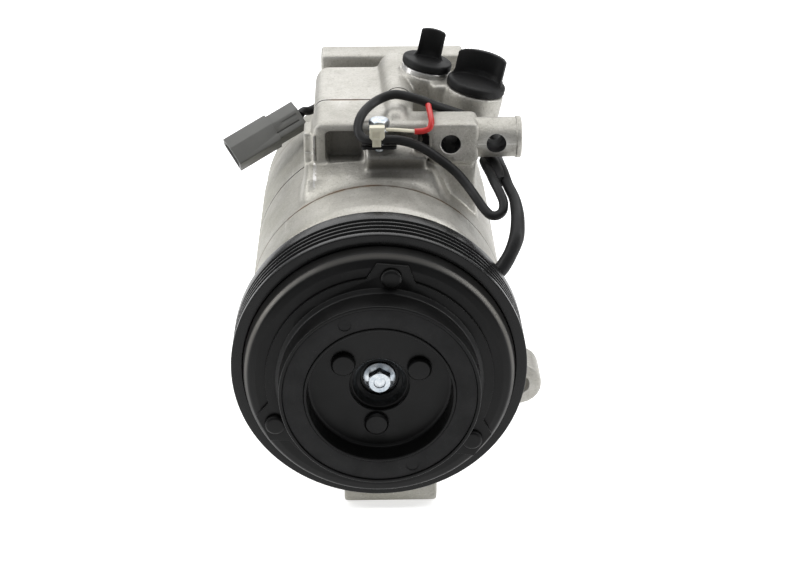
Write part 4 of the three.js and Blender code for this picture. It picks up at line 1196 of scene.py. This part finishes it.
def crescent(radius, wall, start, end, steps=36):
    """A curved wall seen from above: round outside, hollow side towards the middle, thin at its two ends."""
    back = polar(1, (start + end) / 2)
    outer = [polar(radius, start + (end - start) * i / steps) for i in range(steps + 1)]
    inner = []
    for i, (x, y) in enumerate(outer):
        deep = wall * (0.3 + 0.7 * math.sin(math.pi * i / steps))
        inner.append((
            x - deep * back[0] * 0.75 - deep * 0.45 * x / radius,
            y - deep * back[1] * 0.75 - deep * 0.45 * y / radius,
        ))
    return outer + inner[::-1]


def make_plug(name, port, bore, flange, tab, node):
    """A rubber plug: stub, thick round flange, and a curved pull tab that flares into the flange."""
    radius, wall, height, start, end = tab
    base = lathe([
        (0, -9), (bore - 0.3, -9, 0.6), (bore - 0.3, -1.2), (flange, -1.2, 0.7), (flange, 2.3, 0.9),
        (radius + 1.2, 2.9, 0.5), (0, 2.5),
    ], 96, "z")
    tab_wall = prism(crescent(radius, wall, start, end), "z", 1.5, 2.7 + height)
    foot = prism(crescent(radius + 0.9, wall + 1.4, start, end), "z", 1.5, 3.6)
    lower_foot = prism(crescent(radius + 0.45, wall + 0.7, start, end), "z", 1.5, 4.6)
    made = cast(name, moved(together(base, tab_wall, foot, lower_foot), port), 0.35, 5, 0.5)
    done(made, "castings", "black_rubber", [node])


def make_through_bolts():
    crown = [(0, 197.6), (4.2, 197.6), (5.2, 196.9), (5.2, 192), (0, 192)]
    shank = [
        (0, 50), (3, 50, 0.5), (3, 192.3), (5.2, 192.3, 0.2), (5.2, 193.4, 0.3), (4.2, 194.2), (0, 194.2),
    ]
    for i, angle in enumerate(BOLT_ANGLES):
        across = polar(BOLT_PITCH, angle)
        made = hex_bolt(f"long_bolt_{i + 1}", 8.6, angle, "y", across, 48, (193.5, 197.6), crown, shank)
        soften(made, 0.15, 2, 25)
        done(made, "castings", "zinc_plate", [f"through_bolt_{i + 1}"])


# ---- clamp

def make_clamp():
    plate = rounded([(-6.5, 69.6), (9, 69.6), (9, 81.6), (-6.5, 81.6)], 1.5)
    made = as_object("lead_clamp_plate", prism(plate, "z", 70.9, 72.1))
    shave(made, rod("z", 60, 80, CLAMP_BOLT, 2.9, 32))
    soften(made, 0.25, 2)
    done(made, "castings", "clamp_steel", ["lead_clamp"])
    crown = [(0, 82.5), (3.7, 82.5), (4.7, 81.8), (4.7, 77), (0, 77)]
    shank = [(0, 58), (2.6, 58, 0.4), (2.6, 77.4), (4.7, 77.4, 0.2), (4.7, 78.6, 0.3), (0, 78.8)]
    made = hex_bolt("clamp_bolt_head", 8, 0.0, "z", CLAMP_BOLT, 48, (78.2, 82.5), crown, shank)
    soften(made, 0.15, 2, 25)
    done(made, "castings", "zinc_plate", ["clamp_bolt"])


def make_wire_clip():
    block = [(-2.9, 82.7), (3.7, 82.7), (3.7, 78.2), (2.6, 76.9), (-1.9, 76.9), (-2.9, 78.0)]
    made = as_object("wire_clip_body", prism(block, "y", 65.6, 69.3))
    shave(made, brick(-1.7, 2.1, 66.0, 68.9, 73.6, 77.5), operation="UNION")
    shave(made, brick(-1.5, 1.7, 65, 66.1, 77.9, 80.6), brick(-0.6, 0.9, 65, 66.3, 74.2, 76.4))
    soften(made, 0.35, 3)
    done(made, "castings", "clip_plastic", ["wire_clip"])


# ---- build

def finish_cad_nodes():
    """CAD pieces that stay as they are get the finish of their slot."""
    slots = {part["node"]: part["material_slot"] for part in frame["record"]["subparts"]}
    for name, node in frame["nodes"].items():
        node.data.materials.clear()
        node.data.materials.append(materials[slots[name]])


materials = make_materials()
make_camera()
make_stage()
make_leads()
finish_cad_nodes()
make_pulley()
make_armature()
make_outer_hub()
make_damper()
make_hub()
make_rivets()
make_hub_bolt()
make_coil()
make_front_housing()
make_cylinder_castings()
make_rear_housing()
make_plug("small_port_plug", SMALL_PORT, SMALL_BORE, 11.7, SMALL_TAB, "discharge_port_plug")
make_plug("large_port_plug", LARGE_PORT, LARGE_BORE, 13.7, LARGE_TAB, "suction_port_plug")
make_through_bolts()
make_clamp()
make_wire_clip()
